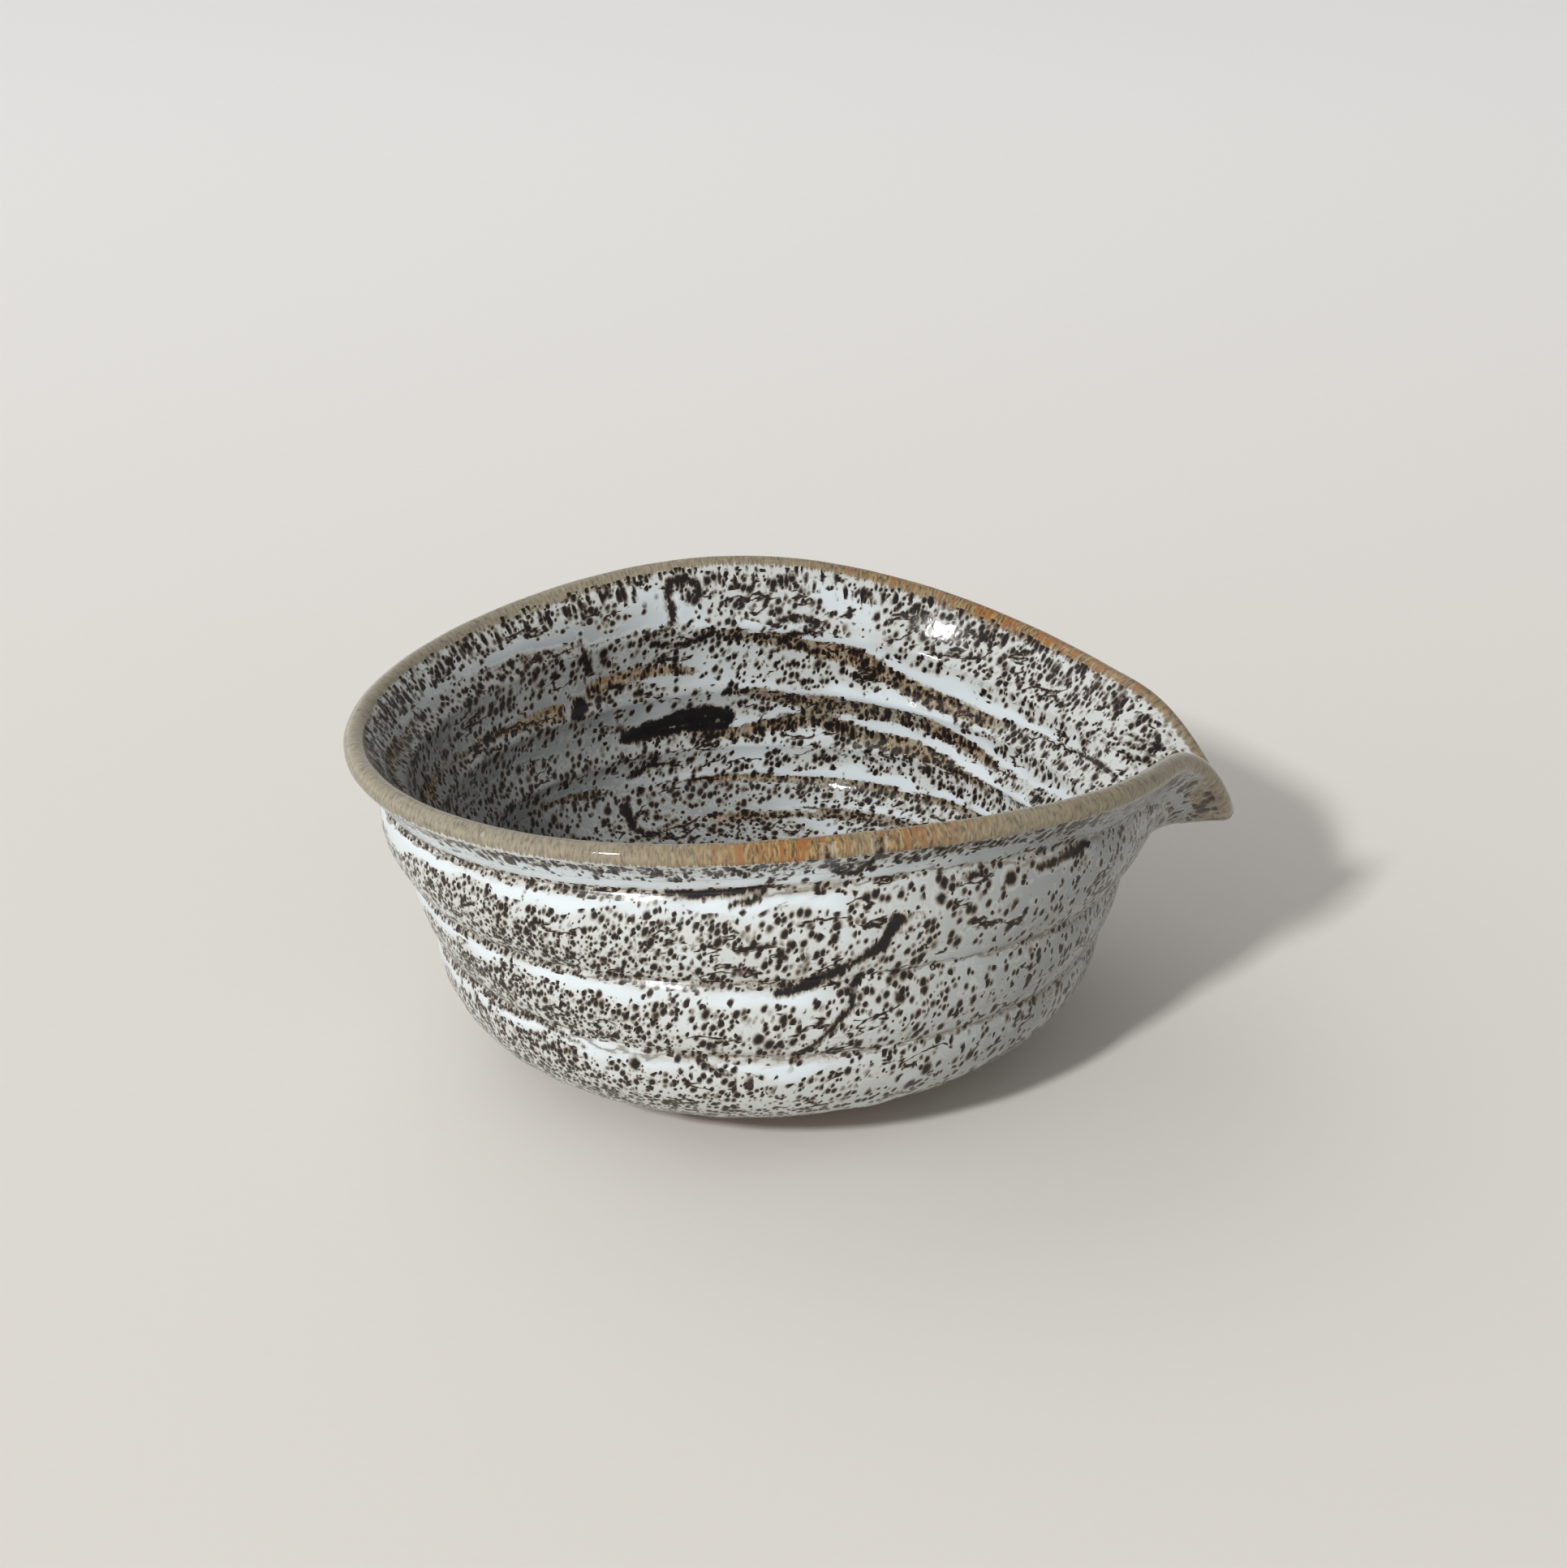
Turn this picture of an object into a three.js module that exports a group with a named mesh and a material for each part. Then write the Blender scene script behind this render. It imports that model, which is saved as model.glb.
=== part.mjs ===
// A spouted tea bowl, thrown in stoneware and glazed white over an iron-bearing clay.
// Millimetres, +Z up. The bowl stands on Z = 0 and its spout points along +X.
// Four pieces: the clay body, its foot ring, and the inside and outside coats of glaze.
import * as THREE from 'three';

// The wall is described by a plain surface near its outer face, half a lip inside it.
// Foot ring
const FOOT_HEIGHT = 3.4;
const FOOT_OUTER_RADIUS = 29;
const FOOT_INNER_RADIUS = 23.5;
const FOOT_FLARE = 0.8; // wider at the top, where it meets the bowl
const FOOT_CHAMFER = 0.7;
const FOOT_LEDGE = 2.5; // flat underside of the bowl outside the ring

// The thrown wall, before the hand changed it
const BELLY_CLEARANCE = 3.3; // from the top of the foot ring up to the bottom of the wall
const WALL_HEIGHT = 48.4; // from there up to the lip
const WALL_RADIUS = 55.8; // just under the collar, without the finger bands
const WALL_TAPER = 4.5; // how much the wall closes in from the collar to the belly
const BELLY_TUCK = 19.8; // how much more the belly turns under
const BELLY_SHARPNESS = 7.1; // higher keeps the turn nearer the foot
const TUCK_DEPTH = 4.5; // how far below the wall the taper and the tuck are complete
const FLARE = 4.3; // outward flare of the lip
const FLARE_DEPTH = 15; // distance below the lip over which the wall flares
const FLARE_CURVE = 2.2;

// The collar, and the bands that the fingers left outside between its crease and the belly
const COLLAR_HEIGHT = 7.1;
const COLLAR_CURVE = 1.25;
const UPPER_BAND_HEIGHT = 13.9;
const MIDDLE_BAND_HEIGHT = 11.0;
const BELLY_TURN_HEIGHT = 2.4; // plain strip under the lowest band
const UPPER_BAND = 1.8; // swell of each band
const MIDDLE_BAND = 1.2;
const LOWER_BAND = 1.5;
const BAND_ROUNDNESS = 0.7;

// The squeeze that made the round bowl oval: plan offsets, then heights of the rim
const OVAL = 5.6; // longer along the spout, narrower across it
const OVAL_POINT = 0.5; // draws the end away from the spout in to a soft point
const OVAL_CORNER = 0.4;
const OVAL_LEAN = 0.4;
const SADDLE = 3.1; // sides up, ends down
const NOSE_DROP = 1.0; // spout end lower than the other end
const RIM_WAVE = 0.5;
const RIM_TWIST = 1.5; // right front and left back up, the other two down
const RIM_TWIST_WAVE = 1.3;
const SQUEEZE_START = 0.35; // share of the wall's height where the squeeze begins
const SQUEEZE_END = 0.95;

// The spout, drawn out of the wall between two fingers
const SPOUT_REACH = 10.0;
const SPOUT_HALF_ANGLE = 0.208; // radians
const SPOUT_RISE_POWER = 1.9;
const SPOUT_DIP = 14.9;
const SPOUT_DIP_HALF_ANGLE = 0.158; // radians
const SPOUT_DIP_POWER = 2.1;
const SPOUT_START = 0.45; // share of the wall's height where the spout begins
const WIPED_HALF_ANGLE = 0.2; // radians each side where the bands and ridges were wiped away

// The belly was trimmed a little out of level
const BELLY_TILT = 1.7;
const BELLY_TILT_FADE = 14;

// Wall and floor thickness with glaze, and the finger ridges inside
const LIP_THICKNESS = 4.0;
const LOWER_WALL_THICKNESS = 6.2;
const FLOOR_THICKNESS = 6.2;
const FLOOR_TURN_HEIGHT = 11.5; // above the floor, where the inside wall starts to turn into it
const FLOOR_PULL = 0.2; // how long the inside wall keeps its slope as it turns level
const INNER_RIDGE = 1.1;
const INNER_RIDGE_PITCH = 9.5;
const INNER_RIDGE_DEPTH = 8.5; // from the lip down to the first ridge
const INNER_RIDGE_SHARPNESS = 0.8;

// Glaze
const GLAZE = 0.7;
const LIP_GLAZE = 0.35; // it runs thin over the lip
const GLAZE_EDGE = 0.2; // and thins out again at its lower edge
const LIP_GLAZE_DEPTH = 9; // distance below the lip over which it reaches full thickness
const GLAZE_LINE_SHARE = 0.4; // how far under the belly the outside glaze goes
const UNDERSIDE_PULL = 0.4; // how long the belly keeps its slope as it turns level

// Facets: steps round the bowl, crowded together at the spout
const STEPS = 64;
const SPOUT_CROWDING = 0.55;
const LIP_STEPS = 4;
const FLOOR_ROWS = 7;
const FLOOR_CROWDING = 1.5; // higher crowds the rows together at the foot of the wall
const PROBE = 0.01; // small step for slopes, in millimetres and in radians

const { smoothstep, clamp, lerp } = THREE.MathUtils;

// Heights above the table
const BELLY_Z = FOOT_HEIGHT + BELLY_CLEARANCE;
const WALL_TOP_Z = BELLY_Z + WALL_HEIGHT;
const TUCK_ORIGIN_Z = BELLY_Z - TUCK_DEPTH;
const BAND_FOOT_Z = BELLY_Z + BELLY_TURN_HEIGHT;
const UPPER_CREASE_Z = WALL_TOP_Z - COLLAR_HEIGHT;
const MIDDLE_CREASE_Z = UPPER_CREASE_Z - UPPER_BAND_HEIGHT;
const LOWER_CREASE_Z = MIDDLE_CREASE_Z - MIDDLE_BAND_HEIGHT;
const FLOOR_Z = FOOT_HEIGHT + FLOOR_THICKNESS;
const INNER_LOW_Z = FLOOR_Z + FLOOR_TURN_HEIGHT;
const INNER_RIDGE_TOP_Z = WALL_TOP_Z - INNER_RIDGE_DEPTH;

// Angle of one step round the bowl, from -pi to pi, 0 at the spout
function stepAngle(step) {
  const turn = (2 * Math.PI * step) / STEPS - Math.PI;
  return turn - SPOUT_CROWDING * Math.sin(turn);
}

// Swell of one finger band between two creases
function band(z, low, high, swell) {
  const share = clamp((z - low) / (high - low), 0, 1);
  return swell * Math.sin(Math.PI * share) ** BAND_ROUNDNESS;
}

// Height share of the wall, 0 at its origin and 1 at the lip
function wallShare(z) {
  return (z - TUCK_ORIGIN_Z) / (WALL_TOP_Z - TUCK_ORIGIN_Z);
}

// Outward flare of the wall at a height, starting a depth below the lip
function flare(z, depth, curve) {
  return FLARE * clamp(1 - (WALL_TOP_Z - z) / depth, 0, 1) ** curve;
}

// Radius of the plain thrown wall at a height
function plainRadius(z) {
  const down = 1 - wallShare(z);
  const round = WALL_RADIUS - WALL_TAPER * down - BELLY_TUCK * down ** BELLY_SHARPNESS;
  return round + flare(z, FLARE_DEPTH, FLARE_CURVE);
}

// How far the collar and the bands stand out from the plain wall
function relief(z) {
  const collar = flare(z, COLLAR_HEIGHT, COLLAR_CURVE) - flare(z, FLARE_DEPTH, FLARE_CURVE);
  return collar
    + band(z, BAND_FOOT_Z, LOWER_CREASE_Z, LOWER_BAND)
    + band(z, LOWER_CREASE_Z, MIDDLE_CREASE_Z, MIDDLE_BAND)
    + band(z, MIDDLE_CREASE_Z, UPPER_CREASE_Z, UPPER_BAND);
}

// How far the squeezed rim lies outside the thrown circle at an angle
function squeezeOut(angle) {
  return OVAL * Math.cos(2 * angle)
    - OVAL_POINT * Math.cos(3 * angle)
    - OVAL_CORNER * Math.cos(4 * angle)
    - OVAL_LEAN * Math.sin(3 * angle);
}

// How far the squeezed rim lies above its mean height at an angle
function squeezeUp(angle) {
  return -NOSE_DROP * Math.cos(angle)
    - SADDLE * Math.cos(2 * angle)
    - RIM_WAVE * Math.cos(3 * angle)
    - RIM_TWIST * Math.sin(2 * angle)
    - RIM_TWIST_WAVE * Math.sin(3 * angle);
}

// How far up the spout a height lies, 0 where it begins and 1 at the lip
function spoutShare(z) {
  return clamp((wallShare(z) - SPOUT_START) / (1 - SPOUT_START), 0, 1);
}

// How much of the bands and ridges is left at a point, after the spout was drawn
function unwiped(angle, z) {
  return 1 - Math.exp(-((angle / WIPED_HALF_ANGLE) ** 2)) * smoothstep(spoutShare(z), 0, 0.5);
}

// A point of the plain wall, after the squeeze and the spout
function middle(angle, z) {
  const squeeze = smoothstep(wallShare(z), SQUEEZE_START, SQUEEZE_END);
  const spout = spoutShare(z);
  const reach = SPOUT_REACH * Math.exp(-((angle / SPOUT_HALF_ANGLE) ** 2));
  const dip = SPOUT_DIP * Math.exp(-((angle / SPOUT_DIP_HALF_ANGLE) ** 2));
  const tilt = BELLY_TILT * Math.exp(-(((z - BELLY_Z) / BELLY_TILT_FADE) ** 2));
  const radius = plainRadius(z) + squeeze * squeezeOut(angle) + reach * spout ** SPOUT_RISE_POWER;
  const height = z + squeeze * squeezeUp(angle) + tilt * Math.cos(angle) - dip * spout ** SPOUT_DIP_POWER;
  return new THREE.Vector3(radius * Math.cos(angle), radius * Math.sin(angle), height);
}

// Directions at a point of the plain wall: straight out of it, and up it
function wallFrame(angle, z) {
  const low = Math.max(z - PROBE, BELLY_Z);
  const high = Math.min(z + PROBE, WALL_TOP_Z);
  const along = middle(angle + PROBE, z).sub(middle(angle - PROBE, z)).normalize();
  const rise = middle(angle, high).sub(middle(angle, low)).normalize();
  const out = along.clone().cross(rise).normalize();
  const up = out.clone().cross(along).normalize();
  return { out, up };
}

// Thickness of the glaze at a height on the wall
function glazeAt(z) {
  const depth = WALL_TOP_Z - z;
  return LIP_GLAZE + (GLAZE - LIP_GLAZE) * smoothstep(depth, 0, LIP_GLAZE_DEPTH);
}

// Distance from the plain surface in to the face of the inside glaze, with the finger ridges
function innerDepth(angle, z) {
  const down = clamp((WALL_TOP_Z - z) / (WALL_TOP_Z - INNER_LOW_Z), 0, 1);
  const turn = (INNER_RIDGE_TOP_Z - z) / INNER_RIDGE_PITCH;
  const crest = 1 - Math.abs(Math.sin(Math.PI * turn)) ** INNER_RIDGE_SHARPNESS;
  const fade = smoothstep(down, 0.05, 0.25) * (1 - smoothstep(down, 0.9, 1)) * unwiped(angle, z);
  return lerp(LIP_THICKNESS, LOWER_WALL_THICKNESS, down) - LIP_THICKNESS / 2 + INNER_RIDGE * crest * fade;
}

// A row is a function of the angle and of how deep below the glaze's face the row lies:
// depth 0 is the face of the glaze and depth 1 is the clay under it.

// A row of the outer wall
function outerRow(z) {
  return (angle, depth) => {
    const offset = LIP_THICKNESS / 2 + relief(z) * unwiped(angle, z) - depth * glazeAt(z);
    return middle(angle, z).addScaledVector(wallFrame(angle, z).out, offset);
  };
}

// A row of the inner wall
function innerRow(z) {
  return (angle, depth) => {
    const offset = depth * glazeAt(z) - innerDepth(angle, z);
    return middle(angle, z).addScaledVector(wallFrame(angle, z).out, offset);
  };
}

// A row of the round lip, at a turn from 0 outside to pi inside
function lipRow(turn) {
  return (angle, depth) => {
    const { out, up } = wallFrame(angle, WALL_TOP_Z);
    const radius = LIP_THICKNESS / 2 - depth * LIP_GLAZE;
    return middle(angle, WALL_TOP_Z)
      .addScaledVector(out, radius * Math.cos(turn))
      .addScaledVector(up, radius * Math.sin(turn));
  };
}

// A row of a surface that leaves two wall rows smoothly and runs level into a ring or a point
function runningRow(nextToLast, last, share, endRadius, endZ, pull) {
  return (angle, depth) => {
    const start = last(angle, depth);
    const before = nextToLast(angle, depth);
    const direction = start.clone().sub(before).normalize();
    const reach = Math.hypot(start.x, start.y) - endRadius;
    const end = new THREE.Vector3(endRadius * Math.cos(angle), endRadius * Math.sin(angle), endZ(depth));
    const level = new THREE.Vector3(Math.cos(angle), Math.sin(angle), 0);
    const curve = new THREE.CubicBezierCurve3(
      start,
      start.clone().addScaledVector(direction, reach * pull),
      end.clone().addScaledVector(level, reach * 0.5),
      end,
    );
    return curve.getPoint(share);
  };
}

// Heights of the outer rows: every crease, and steps between them where the bands swell
function outerHeights() {
  const stops = [
    { z: BELLY_Z, steps: 1 },
    { z: BAND_FOOT_Z, steps: 4 },
    { z: LOWER_CREASE_Z, steps: 3 },
    { z: MIDDLE_CREASE_Z, steps: 4 },
    { z: UPPER_CREASE_Z, steps: 3 },
    { z: WALL_TOP_Z, steps: 1 },
  ];
  const heights = [];
  for (let stop = 0; stop + 1 < stops.length; stop += 1) {
    const { z, steps } = stops[stop];
    const rise = stops[stop + 1].z - z;
    for (let step = 0; step < steps; step += 1) {
      heights.push(z + (rise * step) / steps);
    }
  }
  return [...heights, WALL_TOP_Z];
}

// Heights of the inner rows, from the lip down: every ridge and every hollow between two
function innerHeights() {
  const heights = [WALL_TOP_Z];
  const halfPitch = INNER_RIDGE_PITCH / 2;
  const first = Math.floor((WALL_TOP_Z - INNER_RIDGE_TOP_Z) / halfPitch - 0.25);
  for (let half = -first; INNER_RIDGE_TOP_Z - half * halfPitch > INNER_LOW_Z + 1; half += 1) {
    heights.push(INNER_RIDGE_TOP_Z - half * halfPitch);
  }
  return [...heights, INNER_LOW_Z];
}

// A row under the belly, at a share of the way from the wall in to the foot's ledge
function undersideRow(share) {
  const [first, second] = outerHeights();
  const ledge = FOOT_OUTER_RADIUS + FOOT_FLARE + FOOT_LEDGE;
  return runningRow(outerRow(second), outerRow(first), share, ledge, () => FOOT_HEIGHT, UNDERSIDE_PULL);
}

// The row where the outside glaze ends, thinned to its edge
function glazeLineRow() {
  const clay = undersideRow(GLAZE_LINE_SHARE);
  return (angle, depth) => {
    const point = clay(angle, 1);
    return point.setZ(point.z - (1 - depth) * GLAZE_EDGE);
  };
}

// Rows of the floor, from the wall inwards; the last one is the middle point
function floorRows() {
  const heights = innerHeights();
  const last = innerRow(heights.at(-1));
  const before = innerRow(heights.at(-1) + 1);
  const floorZ = (depth) => FLOOR_Z - depth * GLAZE;
  const rows = [];
  for (let row = 1; row < FLOOR_ROWS; row += 1) {
    const share = (row / FLOOR_ROWS) ** FLOOR_CROWDING;
    rows.push(runningRow(before, last, share, 0, floorZ, FLOOR_PULL));
  }
  return rows;
}

// Points of one row all round the bowl
function ring(row, depth) {
  return Array.from({ length: STEPS }, (_, step) => row(stepAngle(step), depth));
}

// A closed solid from rings of points, each end closed to a point or round to the first ring
class Loft {
  constructor() {
    this.positions = [];
    this.indices = [];
  }

  add(points) {
    const start = this.positions.length / 3;
    points.forEach((point) => this.positions.push(point.x, point.y, point.z));
    return start;
  }

  // Joins two rings; the back of a coat has the same diagonals as the clay behind it, turned over
  bridge(from, to, outwards = true) {
    for (let step = 0; step < STEPS; step += 1) {
      const next = (step + 1) % STEPS;
      const sides = [
        [from + step, from + next, to + next],
        [from + step, to + next, to + step],
      ];
      sides.forEach((side) => this.indices.push(...(outwards ? side : side.reverse())));
    }
  }

  fan(from, point, outwards) {
    const centre = this.add([point]);
    for (let step = 0; step < STEPS; step += 1) {
      const next = (step + 1) % STEPS;
      this.indices.push(...(outwards ? [from + step, from + next, centre] : [from + next, from + step, centre]));
    }
  }

  geometry() {
    const geometry = new THREE.BufferGeometry();
    geometry.setAttribute('position', new THREE.Float32BufferAttribute(this.positions, 3));
    geometry.setIndex(this.indices);
    geometry.computeVertexNormals();
    return geometry;
  }
}

// Rows from the belly over the lip and down the inside to the floor
const outsideWall = outerHeights().map(outerRow);
const lip = Array.from({ length: LIP_STEPS - 1 }, (_, step) => lipRow((Math.PI * (step + 1)) / LIP_STEPS));
const insideWall = innerHeights().map(innerRow);
const crest = Math.floor(lip.length / 2);

// The fired clay: belly, wall, lip and floor in one piece, spout drawn out of the wall
function clayBody() {
  const loft = new Loft();
  const underside = [undersideRow(1), undersideRow((1 + GLAZE_LINE_SHARE) / 2), glazeLineRow()];
  const rows = [...underside, ...outsideWall, ...lip, ...insideWall, ...floorRows()];
  const starts = rows.map((row) => loft.add(ring(row, 1)));
  starts.slice(1).forEach((start, index) => loft.bridge(starts[index], start));
  loft.fan(starts[0], new THREE.Vector3(0, 0, FOOT_HEIGHT), false);
  loft.fan(starts.at(-1), new THREE.Vector3(0, 0, FLOOR_Z - GLAZE), true);
  return loft.geometry();
}

// The face and the back of a coat over the same rows; returns the rings of each
function coat(loft, rows) {
  const face = rows.map((row) => loft.add(ring(row, 0)));
  const back = rows.map((row) => loft.add(ring(row, 1)));
  face.slice(1).forEach((start, index) => loft.bridge(face[index], start));
  back.slice(1).forEach((start, index) => loft.bridge(back[index], start, false));
  loft.bridge(face[0], back[0], false);
  return { face, back };
}

// The outside coat, from its edge under the belly up to the crest of the lip
function outsideGlaze() {
  const loft = new Loft();
  const { face, back } = coat(loft, [glazeLineRow(), ...outsideWall, ...lip.slice(0, crest + 1)]);
  loft.bridge(face.at(-1), back.at(-1));
  return loft.geometry();
}

// The inside coat, from the crest of the lip down over the whole floor
function insideGlaze() {
  const loft = new Loft();
  const { face, back } = coat(loft, [...lip.slice(crest), ...insideWall, ...floorRows()]);
  loft.fan(face.at(-1), new THREE.Vector3(0, 0, FLOOR_Z), true);
  loft.fan(back.at(-1), new THREE.Vector3(0, 0, FLOOR_Z - GLAZE), false);
  return loft.geometry();
}

// The foot ring: flat where it stands, flat where it meets the bowl
function footRing() {
  const outer = FOOT_OUTER_RADIUS;
  const inner = FOOT_INNER_RADIUS;
  const profile = [
    [inner + FOOT_CHAMFER, 0],
    [outer - FOOT_CHAMFER, 0],
    [outer, FOOT_CHAMFER],
    [outer + FOOT_FLARE, FOOT_HEIGHT],
    [inner - FOOT_FLARE, FOOT_HEIGHT],
    [inner, FOOT_CHAMFER],
    [inner + FOOT_CHAMFER, 0],
  ].map(([radius, z]) => new THREE.Vector2(radius, z));
  const geometry = new THREE.LatheGeometry(profile, STEPS);
  geometry.rotateX(Math.PI / 2);
  return geometry;
}

function material(color, roughness) {
  return new THREE.MeshStandardMaterial({ color, roughness, metalness: 0 });
}

function piece(name, geometry, finish) {
  const mesh = new THREE.Mesh(geometry, finish);
  mesh.name = name;
  return mesh;
}

const stoneware = material('#6f5f4f', 0.85);
const whiteGlaze = material('#dfe3e4', 0.12);

const bowl = new THREE.Group();
bowl.add(
  piece('clay_body', clayBody(), stoneware),
  piece('foot_ring', footRing(), stoneware),
  piece('inside_glaze', insideGlaze(), whiteGlaze),
  piece('outside_glaze', outsideGlaze(), whiteGlaze),
);

// The origin is under the middle of the whole bowl, spout included
const box = new THREE.Box3().setFromObject(bowl);
bowl.position.x = -(box.min.x + box.max.x) / 2;
bowl.position.y = -(box.min.y + box.max.y) / 2;

export default bowl;
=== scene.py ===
# %% [markdown]
# This lesson finishes a spouted tea bowl: a thrown wall, squeezed oval, with a spout drawn out
# by two fingers. The measured clay, foot ring and glaze coats come in as a fixed frame. The
# frame says how large everything is, and this lesson gives each surface its final looks.

# %% Load the measured bowl
import math

import bmesh
import bpy
import numpy as np
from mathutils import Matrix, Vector


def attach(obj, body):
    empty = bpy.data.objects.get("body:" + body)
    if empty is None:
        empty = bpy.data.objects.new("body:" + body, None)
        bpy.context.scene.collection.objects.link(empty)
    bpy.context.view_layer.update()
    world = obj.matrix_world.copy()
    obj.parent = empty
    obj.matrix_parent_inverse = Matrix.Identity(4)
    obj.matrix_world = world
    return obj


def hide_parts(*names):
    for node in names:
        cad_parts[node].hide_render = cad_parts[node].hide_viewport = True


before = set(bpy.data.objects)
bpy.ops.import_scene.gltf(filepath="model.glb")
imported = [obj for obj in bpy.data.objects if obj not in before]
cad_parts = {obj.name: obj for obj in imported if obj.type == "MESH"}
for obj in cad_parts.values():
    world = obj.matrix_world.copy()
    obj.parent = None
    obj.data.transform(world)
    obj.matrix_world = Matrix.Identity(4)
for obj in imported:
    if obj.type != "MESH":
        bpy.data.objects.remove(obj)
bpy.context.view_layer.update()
print("pieces of the frame:", sorted(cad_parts))

# %% [markdown]
# The wall has one plain surface near its outer face, and every face of the bowl is measured
# from it. These sizes are in millimetres, the same ones that the frame was built from. They
# could be read off the frame's facets, but the formulas give a smoother wall than facets do.

# %% Sizes of the bowl, in millimetres
FOOT_HEIGHT = 3.4
FOOT_OUTER_RADIUS = 29
FOOT_INNER_RADIUS = 23.5
FOOT_FLARE = 0.8
FOOT_CHAMFER = 0.7
LEDGE_RADIUS = 32.3
BELLY_Z = 6.7
LIP_Z = 55.1
WALL_RADIUS = 55.8
WALL_LEAN = 4.5
BELLY_TUCK = 19.8
BELLY_TUCK_CURVE = 7.1
TUCK_ORIGIN_Z = 2.2
BAND_FOOT_Z = 9.1
UPPER_CREASE_Z = 48.0
MIDDLE_CREASE_Z = 34.1
LOWER_CREASE_Z = 23.1
FLOOR_Z = 9.6
INNER_LOW_Z = 21.1
FIRST_RIDGE_Z = 46.6
RIDGE_PITCH = 9.5
RIDGE_HEIGHT = 1.1
LIP_THICKNESS = 4.0
LOWER_THICKNESS = 6.2
GLAZE = 0.7
LIP_GLAZE = 0.35
LIP_GLAZE_REACH = 9
GLAZE_EDGE = 0.2
GLAZE_LINE_SHARE = 0.4
PROBE = 0.01
AXIS = np.array([-4.512, -0.383, 0.0])


def ease(x, start, end):
    t = np.clip((x - start) / (end - start), 0, 1)
    return t * t * (3 - 2 * t)


def fade(x, start, end):
    return 1 - ease(x, start, end)


print("wall from", BELLY_Z, "to", LIP_Z, "mm above the table")

# %% [markdown]
# The bowl was thrown round and then changed by hand. So the formulas go in that order: a
# thrown wall, the bands that the fingers left, the squeeze that made it oval, and the spout.

# %% The thrown wall and its bands
FLARE = 4.3
WIDE_FLARE = {"depth": 15, "curve": 2.2}
COLLAR_FLARE = {"depth": 7.1, "curve": 1.25}
BAND_ROUNDNESS = 0.7
BANDS = [
    (BAND_FOOT_Z, LOWER_CREASE_Z, 1.5),
    (LOWER_CREASE_Z, MIDDLE_CREASE_Z, 1.2),
    (MIDDLE_CREASE_Z, UPPER_CREASE_Z, 1.8),
]


def height_share(z):
    return (z - TUCK_ORIGIN_Z) / (LIP_Z - TUCK_ORIGIN_Z)


def flare(z, depth, curve):
    return FLARE * np.clip(1 - (LIP_Z - z) / depth, 0, 1) ** curve


def plain_radius(z):
    down = 1 - height_share(z)
    tuck = BELLY_TUCK * down ** BELLY_TUCK_CURVE
    return WALL_RADIUS - WALL_LEAN * down - tuck + flare(z, **WIDE_FLARE)


def band(z, low, high, swell):
    share = np.clip((z - low) / (high - low), 0, 1)
    return swell * np.sin(np.pi * share) ** BAND_ROUNDNESS


def relief(z):
    collar = flare(z, **COLLAR_FLARE) - flare(z, **WIDE_FLARE)
    return collar + sum(band(z, low, high, swell) for low, high, swell in BANDS)


print("bands swell by", [swell for low, high, swell in BANDS], "mm")

# %% The squeeze and the spout
OVAL = 5.6
SADDLE = 3.1
SQUEEZE_FROM = 0.35
SQUEEZE_TO = 0.95
SPOUT_ROOT = 0.45
SPOUT_REACH = 10
SPOUT_REACH_WIDTH = 0.208
SPOUT_REACH_CURVE = 1.9
SPOUT_DIP = 14.9
SPOUT_DIP_WIDTH = 0.158
SPOUT_DIP_CURVE = 2.1
SPOUT_WIPE_WIDTH = 0.2
BELLY_TILT = 1.7
BELLY_TILT_HEIGHT = 14


def squeeze_out(angle):
    lean = 0.5 * np.cos(3 * angle) + 0.4 * np.cos(4 * angle) + 0.4 * np.sin(3 * angle)
    return OVAL * np.cos(2 * angle) - lean


def squeeze_up(angle):
    twist = 0.5 * np.cos(3 * angle) + 1.5 * np.sin(2 * angle) + 1.3 * np.sin(3 * angle)
    return -np.cos(angle) - SADDLE * np.cos(2 * angle) - twist


def spout_share(z):
    return np.clip((height_share(z) - SPOUT_ROOT) / (1 - SPOUT_ROOT), 0, 1)


def unwiped(angle, z):
    return 1 - np.exp(-(angle / SPOUT_WIPE_WIDTH) ** 2) * ease(spout_share(z), 0, 0.5)


def middle(angle, z):
    squeeze = ease(height_share(z), SQUEEZE_FROM, SQUEEZE_TO)
    spout = spout_share(z)
    reach = SPOUT_REACH * np.exp(-(angle / SPOUT_REACH_WIDTH) ** 2) * spout ** SPOUT_REACH_CURVE
    dip = SPOUT_DIP * np.exp(-(angle / SPOUT_DIP_WIDTH) ** 2) * spout ** SPOUT_DIP_CURVE
    tilt = BELLY_TILT * np.exp(-((z - BELLY_Z) / BELLY_TILT_HEIGHT) ** 2) * np.cos(angle)
    radius = plain_radius(z) + squeeze * squeeze_out(angle) + reach
    height = z + squeeze * squeeze_up(angle) + tilt - dip
    return np.stack([radius * np.cos(angle), radius * np.sin(angle), height], -1)


print("spout reaches", SPOUT_REACH, "mm out and dips", SPOUT_DIP, "mm")

# %% [markdown]
# The two faces of the wall stand off the plain surface, squarely to it. So each point needs
# the way out of the wall there, which comes from a small step along it and a small step up.
# Solidify could give a wall its thickness too, but this wall is thin at the lip and thick low
# down, has finger ridges inside only, and its coat gets thinner towards the lip.

# %% Directions of the wall, and its two faces
def unit(vectors):
    return vectors / np.linalg.norm(vectors, axis=-1, keepdims=True)


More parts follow.
